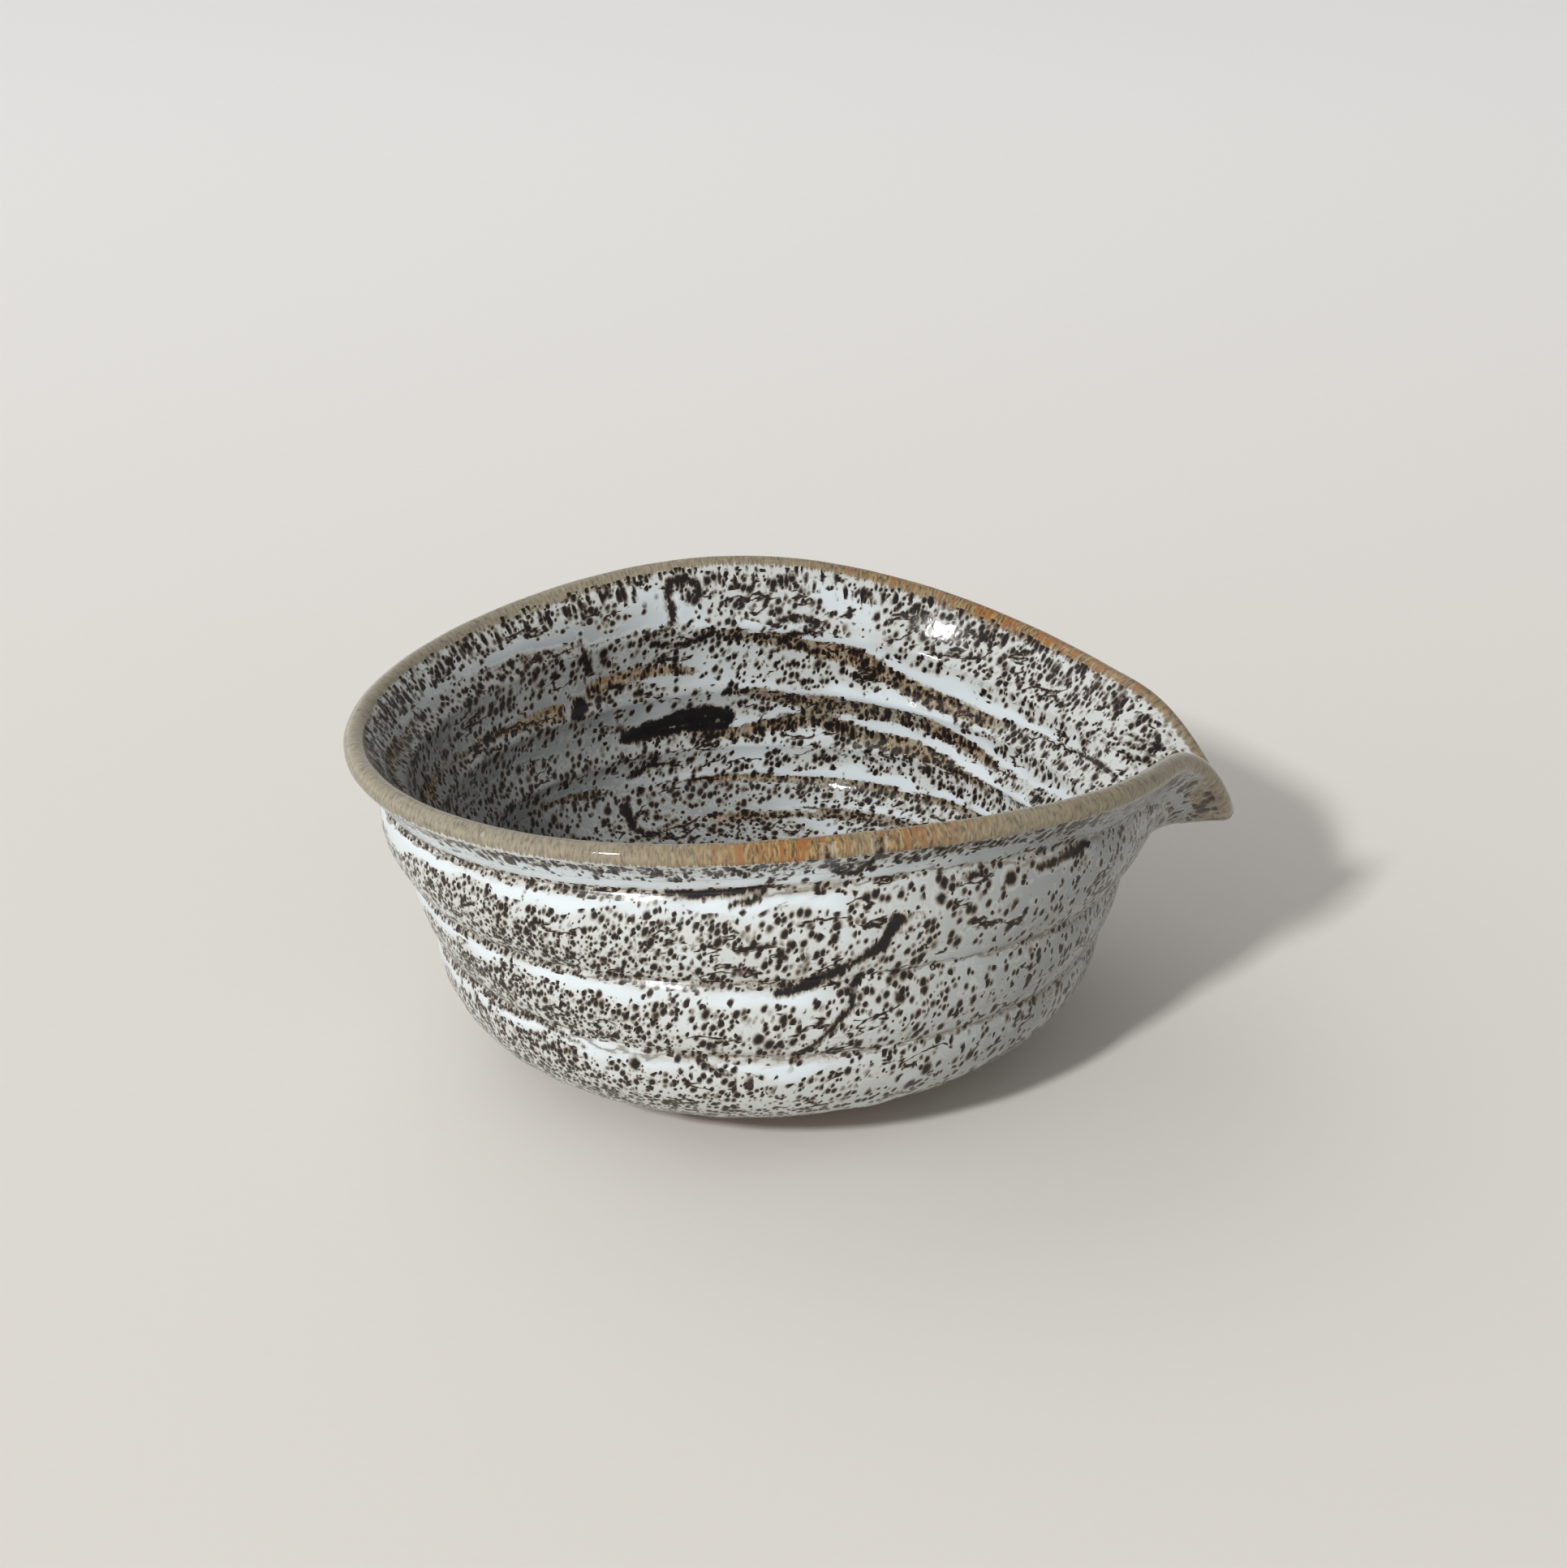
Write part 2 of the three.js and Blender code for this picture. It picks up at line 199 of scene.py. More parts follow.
def directions(angle, z):
    low, high = np.maximum(z - PROBE, BELLY_Z), np.minimum(z + PROBE, LIP_Z)
    along = unit(middle(angle + PROBE, z) - middle(angle - PROBE, z))
    rise = unit(middle(angle, high) - middle(angle, low))
    out = unit(np.cross(along, rise))
    return out, unit(np.cross(out, along))


def glaze_at(z):
    return LIP_GLAZE + (GLAZE - LIP_GLAZE) * ease(LIP_Z - z, 0, LIP_GLAZE_REACH)


def outer_face(angle, z, depth):
    offset = LIP_THICKNESS / 2 + relief(z) * unwiped(angle, z) - depth * glaze_at(z)
    return middle(angle, z) + directions(angle, z)[0] * offset[..., None]


def inner_face(angle, z, depth):
    down = np.clip((LIP_Z - z) / (LIP_Z - INNER_LOW_Z), 0, 1)
    crest = 1 - np.abs(np.sin(np.pi * (FIRST_RIDGE_Z - z) / RIDGE_PITCH)) ** 0.8
    ridged = ease(down, 0.05, 0.25) * fade(down, 0.9, 1) * unwiped(angle, z)
    thickness = LIP_THICKNESS + (LOWER_THICKNESS - LIP_THICKNESS) * down
    thickness = thickness + RIDGE_HEIGHT * crest * ridged
    offset = LIP_THICKNESS / 2 - thickness + depth * glaze_at(z)
    return middle(angle, z) + directions(angle, z)[0] * offset[..., None]


def lip_face(angle, turn, depth):
    out, up = directions(angle, np.full_like(turn, LIP_Z))
    radius = LIP_THICKNESS / 2 - depth * LIP_GLAZE
    round_lip = out * np.cos(turn)[..., None] + up * np.sin(turn)[..., None]
    return middle(angle, np.full_like(turn, LIP_Z)) + radius * round_lip


print("lip", LIP_THICKNESS, "mm thick, wall", LOWER_THICKNESS, "mm thick low down")

# %% [markdown]
# Under the belly and inside at the bottom the wall turns level. One curve with four handles
# does both: it leaves the wall along its slope and arrives level, at the middle of the floor
# or at the ledge over the foot.

# %% The floor inside and the underside, both running level from the wall
FLOOR_PULL = 0.2
UNDER_PULL = 0.4
LEVEL_PULL = 0.5
FLOOR_PROBE = 1
UNDER_PROBE = 2.4


def run_level(before, last, share, angle, radius, z, pull):
    slope = unit(last - before)
    reach = (np.hypot(last[..., 0], last[..., 1]) - radius)[..., None]
    level = np.stack([np.cos(angle), np.sin(angle), np.zeros_like(angle)], -1)
    end = level * radius + np.array([0, 0, z])
    t = share[..., None]
    first = last + slope * reach * pull
    second = end + level * reach * LEVEL_PULL
    curve = last * (1 - t) ** 3 + first * 3 * t * (1 - t) ** 2
    return curve + second * 3 * t * t * (1 - t) + end * t ** 3


def floor_face(angle, share, depth):
    low = np.full_like(share, INNER_LOW_Z)
    before, last = inner_face(angle, low + FLOOR_PROBE, depth), inner_face(angle, low, depth)
    return run_level(before, last, share, angle, 0, FLOOR_Z - depth * GLAZE, FLOOR_PULL)


def under_face(angle, share, depth):
    low = np.full_like(share, BELLY_Z)
    before, last = outer_face(angle, low + UNDER_PROBE, depth), outer_face(angle, low, depth)
    return run_level(before, last, share, angle, LEDGE_RADIUS, FOOT_HEIGHT, UNDER_PULL)


def under_glaze(angle, share, depth):
    clay = under_face(angle, share, np.ones_like(share))
    drop = GLAZE_EDGE + (GLAZE - GLAZE_EDGE) * (1 - share / GLAZE_LINE_SHARE)
    clay[..., 2] -= (1 - depth) * drop
    return clay


print("floor", FLOOR_Z, "mm and ledge", FOOT_HEIGHT, "mm above the table")

# %% [markdown]
# A potter's wheel turns one profile round, and so does the spin operator. Each skin starts as
# a column of points, one for each row of the profile, and spin turns it into a tube of faces.
# Then every point moves to its place on the bowl, and keeps its row and its step.

# %% Steps round the bowl, closer together at the spout
STEPS = 360
SPOUT_CROWDING = 0.3
POLE_SIZE = 0.001
turns = 2 * np.pi * np.arange(STEPS) / STEPS - np.pi
angles = turns - SPOUT_CROWDING * np.sin(turns)
print("steps of", round(float(np.diff(angles).min()), 4), "to", round(float(np.diff(angles).max()), 4))


# %% Turn a skin from its rows
def lay_rows(kind, values, depth=0.0):
    angle = np.broadcast_to(angles, (len(values), STEPS))
    value = np.repeat(np.asarray(values, float)[:, None], STEPS, axis=1)
    return kind(angle, value, depth)


def spin_round(bm, column, edges, steps):
    bmesh.ops.spin(bm, geom=column + edges, cent=(0, 0, 0), axis=(0, 0, 1), dvec=(0, 0, 0),
                   angle=2 * math.pi, steps=steps, use_merge=True, use_duplicate=False)
    bmesh.ops.remove_doubles(bm, verts=bm.verts, dist=POLE_SIZE)


def make_piece(name, bm):
    mesh = bpy.data.meshes.new(name)
    bm.to_mesh(mesh)
    bm.free()
    mesh.shade_smooth()
    piece = bpy.data.objects.new(name, mesh)
    bpy.context.scene.collection.objects.link(piece)
    print(name, len(mesh.vertices), "points", len(mesh.polygons), "faces")
    return piece


def turn_skin(name, places, loop):
    count = len(places)
    poles = [bool(np.ptp(row, axis=0).max() < POLE_SIZE) for row in places]
    bm = bmesh.new()
    column = [bm.verts.new((0 if poles[row] else 1, 0, row)) for row in range(count)]
    pairs = [(row, row + 1) for row in range(count - 1)]
    if loop:
        pairs.append((count - 1, 0))
    edges = [bm.edges.new((column[a], column[b])) for a, b in pairs if not (poles[a] and poles[b])]
    spin_round(bm, column, edges, STEPS)
    rows = np.array([round(v.co.z) for v in bm.verts])
    turned = [math.atan2(v.co.y, v.co.x) for v in bm.verts]
    steps = np.array([round(turn * STEPS / (2 * math.pi)) % STEPS for turn in turned])
    metres = (places[rows, steps] + AXIS) / 1000
    for vert, place in zip(bm.verts, metres):
        vert.co = place
    bmesh.ops.recalc_face_normals(bm, faces=bm.faces)
    return make_piece(name, bm), rows, steps


# %% [markdown]
# The glaze went on as one coat that runs over the lip, so it is one skin here. Its face needs
# many rows, crowded at the creases where the fingers left an edge. Its back lies on the clay
# and only closes the skin, so it takes every fourth row.

# %% Rows of the glaze
BACK_STEP = 4


def crowd_rows(low, high, count):
    share = (1 - np.cos(np.pi * np.arange(count) / count)) / 2
    return low + (high - low) * share


outer_rows = np.concatenate([
    [BELLY_Z, BELLY_Z + 0.8, BELLY_Z + 1.6],
    crowd_rows(BAND_FOOT_Z, LOWER_CREASE_Z, 22),
    crowd_rows(LOWER_CREASE_Z, MIDDLE_CREASE_Z, 18),
    crowd_rows(MIDDLE_CREASE_Z, UPPER_CREASE_Z, 22),
    crowd_rows(UPPER_CREASE_Z, LIP_Z, 12),
])
lip_rows = np.linspace(0, np.pi, 17)
inner_rows = np.linspace(LIP_Z, INNER_LOW_Z, 60)[1:]
floor_rows = np.linspace(0, 1, 27)[1:] ** 1.25
under_rows = np.linspace(GLAZE_LINE_SHARE, 0, 6)[:-1]


def bowl_rows(depth, step, kinds):
    rows = np.concatenate([lay_rows(kind, values, depth) for kind, values in kinds])
    keep = sorted({0, len(rows) - 1, *range(0, len(rows), step)})
    return rows[keep]


wall_kinds = [
    (outer_face, outer_rows),
    (lip_face, lip_rows),
    (inner_face, inner_rows),
    (floor_face, floor_rows),
]
glaze_kinds = [(under_glaze, under_rows), *wall_kinds]
glaze_front = bowl_rows(0.0, 1, glaze_kinds)
glaze_back = bowl_rows(1.0, BACK_STEP, glaze_kinds)
print("rows of the face", len(glaze_front), "and of the back", len(glaze_back))

# %% [markdown]
# Thrown pots carry their history in the glaze. Where the coat is thick it pools white, where
# it is thin the iron of the clay burns through as amber and dark specks, and where it crawled
# it left black strokes. Each of these is a smooth field over the wall, in millimetres, that
# the finish reads as an attribute. A painted picture would do it too, but fields stay sharp.

# %% A slow wandering value, the same after a full turn
WAVES_IN_A_WANDER = 14


def wander(angle, height, seed, waves, rise):
    draw = np.random.default_rng(seed)
    total = 0
    for _ in range(WAVES_IN_A_WANDER):
        wave = draw.integers(1, waves + 1) * draw.choice([-1, 1])
        phase = draw.uniform(-rise, rise) * height + draw.uniform(0, 6.283)
        total = total + np.cos(wave * angle + phase)
    return total / math.sqrt(WAVES_IN_A_WANDER / 2)


def along_turn(angle, points):
    degrees, values = zip(*sorted(points))
    return np.interp(np.degrees(angle), degrees, values, period=360)


print("waves in a wander:", WAVES_IN_A_WANDER)

# %% Where each row of the face lies: its side of the lip, its level and its way from the lip
UNDER_FALL = 9
FLOOR_FALL = 50
front_count = len(glaze_front)
level = np.concatenate([
    BELLY_Z - UNDER_FALL * under_rows,
    outer_rows,
    np.full(len(lip_rows), LIP_Z),
    inner_rows,
    INNER_LOW_Z - FLOOR_FALL * floor_rows,
])
inside = np.concatenate([
    np.zeros(len(under_rows) + len(outer_rows)),
    lip_rows / np.pi,
    np.ones(len(inner_rows) + len(floor_rows)),
])
back_line = glaze_front[:, 0]
path = np.concatenate([[0], np.cumsum(np.linalg.norm(np.diff(back_line, axis=0), axis=-1))])
lip_top = path[len(under_rows) + len(outer_rows) + len(lip_rows) // 2]
from_lip = np.abs(path - lip_top)[:, None] + np.zeros(STEPS)
level = level[:, None] + np.zeros(STEPS)
inside = inside[:, None] + np.zeros(STEPS)
around = np.broadcast_to(angles, level.shape)
degrees = np.degrees(around)
from_spout = np.abs(degrees)
outside_part = fade(inside, 0.45, 0.55)
print("way over the wall", round(path[-1], 1), "mm")

# %% [markdown]
# The dip left the coat uneven: thick and white on the left of the bowl, thin at the front right,
# wiped thin at the spout. The side away from the lamp, from the front round past the spout, is
# given a painted shade of grey. So a few fields say on which side a point lies. The
# lines between thick and thin aren't straight, and two wandering values make them waver.

# %% Lines that waver, and the sides of the bowl in degrees from the spout
FAR_AWAY = 99.0
NO_MARK = 9.0
MIDDLE_LEVEL = -28
OUT_OF_THE_MIDDLE = -8


def waver(seed, waves):
    return wander(around, level * 0, seed, waves, 0)


wobble = 0.6 * wander(around, level, 3, 7, 0.1)
ragged = 0.5 * wander(around, level, 5, 40, 1.2)
left_side = ease(from_spout, 80, 135)
near_spout = fade(from_spout, 15, 60)
at_spout = np.exp(-(degrees / 15) ** 2)
right_front = ease(degrees, -75, -50) * fade(degrees, 20, 60)
off_middle = ease(level, MIDDLE_LEVEL, OUT_OF_THE_MIDDLE)
# The inside left and the left of the floor lie in the shade of the wall nearest the lamp; these two masks
# carry painted shade.
shaded_left_inside = ease(from_spout, 92, 126) * off_middle
shaded_left_floor = ease(INNER_LOW_Z + 3 - level, 0, 6) * ease(from_spout, 60, 105) * off_middle
print("part of the bowl on its left side", round(float(left_side.mean()), 2))

# %% [markdown]
# Outside, the melt ran off each swelling band and gathered white under the crease, and the
# bands stayed thin and full of iron. Such masks could be painted by hand, but a painting has
# to be unwrapped first. Here each mask is a soft step of the distance to the nearest crease.
# Three more values go with the pools: how crowded the specks are, how fine, and how much painted shade
# greys the ground.

# %% White pools outside, under each crease and under the lip
CREASES = (UPPER_CREASE_Z, MIDDLE_CREASE_Z, LOWER_CREASE_Z)
CREASE_TOP = 0.7
CREASE_WAVER = 0.3
POOL_WIDTH = 1.3
POOL_WIDER_LEFT = 0.8
POOL_SOFTNESS = 1.5
below = np.full_like(level, FAR_AWAY)
for crease_z in CREASES:
    gap = crease_z - level + CREASE_WAVER * waver(int(crease_z), 9)
    below = np.where(gap > -CREASE_TOP, np.minimum(below, gap), below)
band_end = below + 1.2 * wobble + ragged
band_width = POOL_WIDTH + POOL_WIDER_LEFT * left_side
broken = ease(wander(around, level, 13, 9, 0.3), -1.2, 0.4)
bands = ease(below, 0.3, 1.0) * (1 - ease(band_end, band_width, band_width + POOL_SOFTNESS))
bands = bands * (left_side + (1 - left_side) * broken)
patches = ease(wander(around, level, 11, 15, 0.8), 0.7, 1.5) * (1 - right_front)
collar_pool = ease(from_lip + wobble, 5.0, 6.4) * (level > UPPER_CREASE_Z + 0.6)
pool_out = np.maximum.reduce([bands, 0.9 * patches * (1 - 0.7 * left_side), collar_pool])
print("pooled white outside", round(float(pool_out[inside < 0.5].mean()), 2))

# %% Specks, painted shade and thin places outside
BELLY_THIN = 2.2
crowd_out = 0.8 + 0.2 * left_side - 0.2 * near_spout
crowd_out = crowd_out * (1 - (0.78 + 0.2 * left_side) * pool_out) * (1 - 0.35 * right_front)
crowd_out = np.maximum(crowd_out, 0.52 * right_front * ease(from_lip, 7, 12))
crowd_out = crowd_out * ease(from_lip, 2.8, 3.8) * (1 - at_spout * fade(from_lip, 6, 12))
# Painted shade: a grey ground on the side away from the lamp, from the front round the spout to the back
# right.
painted_shade_out = 0.95 * ease(degrees, -92, -42) * fade(degrees, 30, 80)
fine_out = np.maximum(left_side, 0.7 * ease(degrees, -55, -20) * fade(degrees, 20, 60))
thin_out = np.maximum.reduce([
    fade(from_lip + 0.5 * wobble, 1.2, 4.4),
    at_spout * fade(from_lip + 0.8 * wobble, 5, 11),
    0.7 * fade(level, BELLY_Z, BELLY_Z + BELLY_THIN),
])
print("mean crowding outside", round(float(crowd_out[inside < 0.5].mean()), 2))

# %% Painted crease shade outside, in millimetres under a crease
CREASE_SHADE_REACH = 3
CREASE_SHADE_WAVER = 0.35
# Painted shade: a dark line and a haze go along each crease, where the shade under each band falls.
crease_shade_out = np.where(below < CREASE_SHADE_REACH, below, NO_MARK)
for crease_z in CREASES:
    gap = crease_z - level
    crease_shade = gap + CREASE_SHADE_WAVER * waver(int(crease_z), 13)
    crease_shade_out = np.where(np.abs(gap) < CREASE_SHADE_REACH, crease_shade, crease_shade_out)
print("points near a smear", int((np.abs(crease_shade_out) < CREASE_SHADE_REACH).sum()))

# %% [markdown]
# Inside, the fingers left ridges. Each one has a black edge where the coat broke, an ochre
# crest just under it where the coat is thin, and a white pool above it where the melt
# stopped. So the lines of the ridges come first, as points of angle and level, and every
# mask is measured up or down from them.

# %% The finger ridges inside, as points of angle in degrees and level in millimetres
RIDGES = [
    [(-180, 50.6), (-120, 48.2), (-60, 45.5), (0, 43.0), (12, 42.5), (25, 42.5), (39, 41.0), (52, 41.6),
     (60, 42.7), (67, 45.0), (80, 45.4), (104, 46.8), (117, 47.4), (128, 48.0), (140, 48.7), (150, 50.0)],
    [(-150, 40.4), (-90, 37.5), (-20, 34.0), (25, 31.4), (35, 32.0), (45, 34.8), (54, 36.7), (64, 36.1),
     (70, 36.5), (76, 35.4), (100, 38.8), (118, 39.3), (128, 39.1), (147, 39.9), (160, 40.4), (174, 41.8)],
    [(-150, 31.5), (-90, 29.0), (-20, 27.0), (26, 26.2), (41, 28.2), (54, 30.7), (66, 31.8), (76, 33.5),
     (93, 31.0), (118, 31.5), (150, 32.5)],
    [(-120, 22.0), (-30, 19.0), (60, 20.5), (119, 22.0), (136, 24.1), (147, 24.3), (175, 23.5)],
    [(-120, 8.0), (-30, 10.0), (60, 12.0), (130, 9.0)],
]
RIDGE_WAVER = 0.35
STROKE_WAVER = 0.24
STROKE_THRESHOLD = 0.22
under_ridge = np.full_like(level, FAR_AWAY)
over_ridge = np.full_like(level, FAR_AWAY)
edge_in = np.full_like(level, FAR_AWAY)
for index, ridge in enumerate(RIDGES):
    gap = along_turn(around, ridge) + RIDGE_WAVER * waver(40 + index, 17) - level
    under_ridge = np.where(gap > 0, np.minimum(under_ridge, gap), under_ridge)
    over_ridge = np.where(gap < 0, np.minimum(over_ridge, -gap), over_ridge)
    stroke = STROKE_WAVER * waver(50 + index, 15) - STROKE_THRESHOLD
    edge_in = np.minimum(edge_in, np.abs(gap) - stroke)
print("ridges inside", len(RIDGES))

# %% A calm white place on the far wall, and the crests under the ridges
CALM_DEGREES = 98
CALM_LEVEL = 40
CALM_HALF_WIDTH = 9
CALM_HALF_HEIGHT = 4.5
sideways = (degrees - CALM_DEGREES) / CALM_HALF_WIDTH
upwards = (level - CALM_LEVEL) / CALM_HALF_HEIGHT
calm = np.exp(-sideways ** 2 - upwards ** 2)
edge_in = edge_in + 2 * calm
crest_in = fade(under_ridge + 0.5 * wobble, 1.5, 3.4) * ease(waver(61, 6) + 1.1, 0, 1.2)
crest_in = crest_in * (1 - calm)
comb_in = fade(under_ridge + 0.8 * wobble, 4.2, 6.2)
thin_in = np.maximum(0.85 * crest_in, fade(from_lip + 0.5 * wobble, 2.2, 5.6))
print("mean thinness inside", round(float(thin_in[inside > 0.5].mean()), 2))

# %% Pools, specks and painted shade inside
pool_in = np.maximum.reduce([
    fade(over_ridge + 0.9 * wobble + ragged, 0.8, 2.5),
    0.85 * ease(wander(around, level, 71, 9, 0.45), 1.0, 1.7),
    0.6 * calm,
])
pool_in = pool_in * (1 - crest_in) * ease(from_lip, 4, 7)
# On the inside left and the left of the floor the pools are fewer and the specks denser, partly the real
# iron and partly painted shade.
pool_in = pool_in * (1 - 0.1 * shaded_left_inside) * (1 - 0.5 * shaded_left_floor)
crowd_in = np.clip(0.85 + 0.15 * comb_in + 0.2 * shaded_left_inside + 0.2 * shaded_left_floor, 0, 1)
crowd_in = crowd_in * (1 - 0.95 * pool_in) * ease(from_lip, 3.4, 4.6)
fine_in = 0.3 + 0.2 * wander(around, level, 77, 5, 0.2)
fine_in = np.clip(fine_in * (1 - shaded_left_inside) - 0.65 * shaded_left_inside, -1, 1)
# Painted shade: a grey ground on the inside left and on the left of the floor.
painted_shade_in = np.maximum(shaded_left_inside * ease(from_lip, 4, 12), shaded_left_floor)
print("pooled white inside", round(float(pool_in[inside > 0.5].mean()), 2))

# %% [markdown]
# Crawl marks are where the wet coat drew back and the dark iron shows. Each one is a bent
# stroke on the wall, given by its angle in degrees and its level in millimetres. The finish
# needs no line of faces for them, only the distance to the nearest stroke.

# %% Crawl marks: side, half width, and points of angle and level
CRAWLS = [
    ("in", 1.0, [(116.5, 31.2), (111, 31.6), (105, 33.0), (98, 33.4), (94, 32.2)]),
    ("in", 0.708, [(113, 30.6), (104, 31.0), (95, 30.8)]),
    ("in", 0.881, [(112, 32.0), (104, 32.2), (97, 32.0)]),
    ("in", 0.236, [(118, 36.0), (117.5, 33.0), (116, 30.8), (113, 30.2)]),
    ("in", 0.708, [(105.2, 53.0), (105.6, 50.6), (105, 48.2)]),
    ("in", 0.542, [(104, 53.2), (101.5, 53.6), (99.5, 52.4), (99.3, 51.2), (100.6, 50.2), (102, 50.8)]),
    ("in", 0.284, [(105, 47.8), (107, 46.9)]),
    ("in", 0.435, [(111.2, 46.8), (110, 45.2), (106, 44.5), (101, 44.7), (97, 45.6)]),
    ("in", 0.384, [(84, 47.5), (79, 48.1), (76, 47.6), (77, 46.4), (81, 45.5), (84, 43.9)]),
    ("in", 0.384, [(124.2, 47.8), (123.8, 45.8)]),
    ("in", 0.708, [(123.6, 45.6), (123.4, 43.4)]),
    ("in", 0.145, [(123.4, 43.2), (123.0, 40.6)]),
    ("in", 0.881, [(126.6, 39.4), (125.2, 38.4), (127.6, 37.6)]),
    ("in", 0.128, [(13, 49.5), (10, 50.8), (8, 52.4)]),
    ("in", 0.128, [(14.5, 48.2), (11, 48.6), (7.5, 50.6)]),
    ("in", 0.128, [(15, 46.8), (11.5, 46.6), (8, 48.4)]),
    ("in", 0.94, [(118, 17.6), (118.3, 11.6), (115.8, 7.6), (110.5, 6.6)]),
    ("in", 0.435, [(116, 23.8), (111.5, 25.2), (106, 25.0)]),
    ("out", 0.596, [(-85, 54.6), (-84, 52.4), (-81.6, 49.9), (-79.4, 50.2), (-78, 52.4), (-77.2, 55.1)]),
    ("out", 0.435, [(-84.4, 53.4), (-82, 52.6), (-80.6, 51.6)]),
    ("out", 0.94, [(-73, 42.4), (-74.4, 40.4), (-75.6, 38.6)]),
    ("out", 0.236, [(-73.4, 42.0), (-71, 42.8), (-68.6, 42.4)]),
    ("out", 0.163, [(-74, 41.0), (-71.6, 39.8)]),
    ("out", 0.607, [(-75.8, 38.2), (-79.5, 36.6), (-84.8, 34.6), (-89.2, 33.4), (-93, 32.9)]),
    ("out", 0.435, [(-79, 34.4), (-80.6, 33.0), (-81, 30.6), (-82.5, 29.1), (-85, 26.9)]),
    ("out", 0.353, [(-85, 26.9), (-87.5, 24.9), (-90.5, 22.5)]),
    ("out", 0.236, [(-81, 30.6), (-79.4, 29.8)]),
    ("out", 0.255, [(-106.8, 23.4), (-104.5, 22.0), (-101.5, 21.2), (-99.8, 20.4), (-99.4, 17.6)]),
    ("out", 0.353, [(-111, 48.3), (-106, 47.9), (-100.5, 48.1), (-94.6, 48.6), (-93.4, 50.4)]),
    ("out", 0.353, [(-100.5, 46.4), (-96.5, 47.0), (-94.6, 48.4)]),
    ("out", 0.333, [(-62, 46.9), (-59.6, 47.2)]),
    ("out", 0.542, [(-49, 46.4), (-44, 46.8), (-39.4, 47.6)]),
    ("out", 0.145, [(-147, 21.9), (-140, 22.6), (-134.8, 23.0), (-129, 22.4), (-124.8, 21.4)]),
    ("out", 0.236, [(28, 40.2), (32, 38.4), (33.5, 35.6), (38, 34.0), (41, 30.4)]),
    ("out", 0.18, [(33.5, 35.6), (30, 34.4)]),
    ("out", 0.293, [(96, 44.6), (101, 43.2), (107, 43.8), (112, 42.0)]),
    ("out", 0.217, [(118, 29.6), (121, 27.0), (120, 24.2), (124, 21.8), (123, 18.6)]),
    ("out", 0.236, [(152, 38.6), (158, 37.4), (161, 39.6), (166, 38.2)]),
    ("in", 0.333, [(-70, 41.2), (-76, 39.6), (-80, 40.4), (-86, 38.8)]),
    ("in", 0.255, [(-128, 33.8), (-131, 31.0), (-130, 28.2), (-134, 25.8)]),
    ("in", 0.435, [(-32, 38.0), (-38, 36.8), (-43, 37.6)]),
]
print("crawl marks", len(CRAWLS))

# %% Round drops of iron: side, radius, angle and level
DROPS = [
    ("out", 0.7, -66.0, 44.6),
    ("out", 0.85, -54.3, 45.8),
    ("out", 0.75, -73.2, 30.8),
    ("out", 0.8, -115.8, 20.8),
    ("out", 0.7, 64.0, 41.5),
    ("out", 0.8, 140.0, 31.0),
    ("out", 0.6, 84.0, 20.0),
    ("in", 0.6, -58.0, 47.0),
]
print("drops", len(DROPS))

# %% The gap from each point of the wall to the nearest stroke
WALL_RADIUS_OUT = 58
WALL_RADIUS_IN = 52
SHORTEST_RUN = 1e-9


def stroke_gap(side, width, points):
    radius = WALL_RADIUS_OUT if side == "out" else WALL_RADIUS_IN
    here = np.stack([radius * around, level], -1)
    gap = np.full_like(level, FAR_AWAY)
    stops = [np.array([radius * math.radians(a), z]) for a, z in points]
    for start, end in zip(stops, stops[1:] or stops):
        run = end - start
        share = np.clip(((here - start) @ run) / max(float(run @ run), SHORTEST_RUN), 0, 1)
        gap = np.minimum(gap, np.linalg.norm(here - start - share[..., None] * run, axis=-1))
    other = outside_part < 0.5 if side == "out" else outside_part > 0.5
    return np.where(other, FAR_AWAY, gap - width)


crawl_gap = np.minimum.reduce([stroke_gap(*crawl) for crawl in CRAWLS])
drop_gap = np.minimum.reduce([stroke_gap(side, width, [(a, z)]) for side, width, a, z in DROPS])
crawl_halo = 0.4 * fade(crawl_gap + 0.3 * wobble, 0.0, 0.8) * ease(from_lip, 5, 7)
thin_out = np.maximum(thin_out, crawl_halo)
thin_in = np.maximum(thin_in, crawl_halo)
print("points under a crawl mark", int((crawl_gap < 0).sum()))

# %% [markdown]
# Where the coat ran off a ridge or was wiped from the lip, the glass is thin and the fire
# turned it ochre and amber. The strips inside are strokes like the crawl marks. Round the lip
# one value for each direction says how far the colour goes from ochre to amber.

# %% Amber strips inside, where the coat ran off a ridge: half width, and points
STRIPS = [
    (0.95, [(176, 41.6), (159.5, 40.2), (146.8, 39.6), (131, 38.8)]),
    (0.8, [(123, 40.6), (114, 41.2), (106, 41.0), (101, 40.2)]),
    (0.7, [(147, 24.0), (136, 23.8), (124, 22.6)]),
    (0.9, [(86, 35.6), (78, 35.2), (72, 35.6)]),
    (1.0, [(77, 43.4), (70, 43.4), (63, 42.0)]),
    (0.8, [(58, 40.6), (50, 40.0), (40, 39.4)]),
    (0.8, [(52, 34.8), (45, 33.4), (36, 31.2)]),
    (0.7, [(60, 29.6), (50, 28.6), (40, 26.8)]),
    (0.8, [(-60, 43.0), (-80, 41.6), (-95, 41.0)]),
    (0.8, [(-120, 46.6), (-140, 48.0), (-155, 48.4)]),
]
LOW_STRIP = (0.7, [(-114, 9.8), (-104, 8.9), (-94, 8.8)])
strip_gap = np.minimum.reduce([stroke_gap("in", *strip) for strip in STRIPS])
strip_part = fade(strip_gap + 0.5 * wobble, -0.7, 0.9)
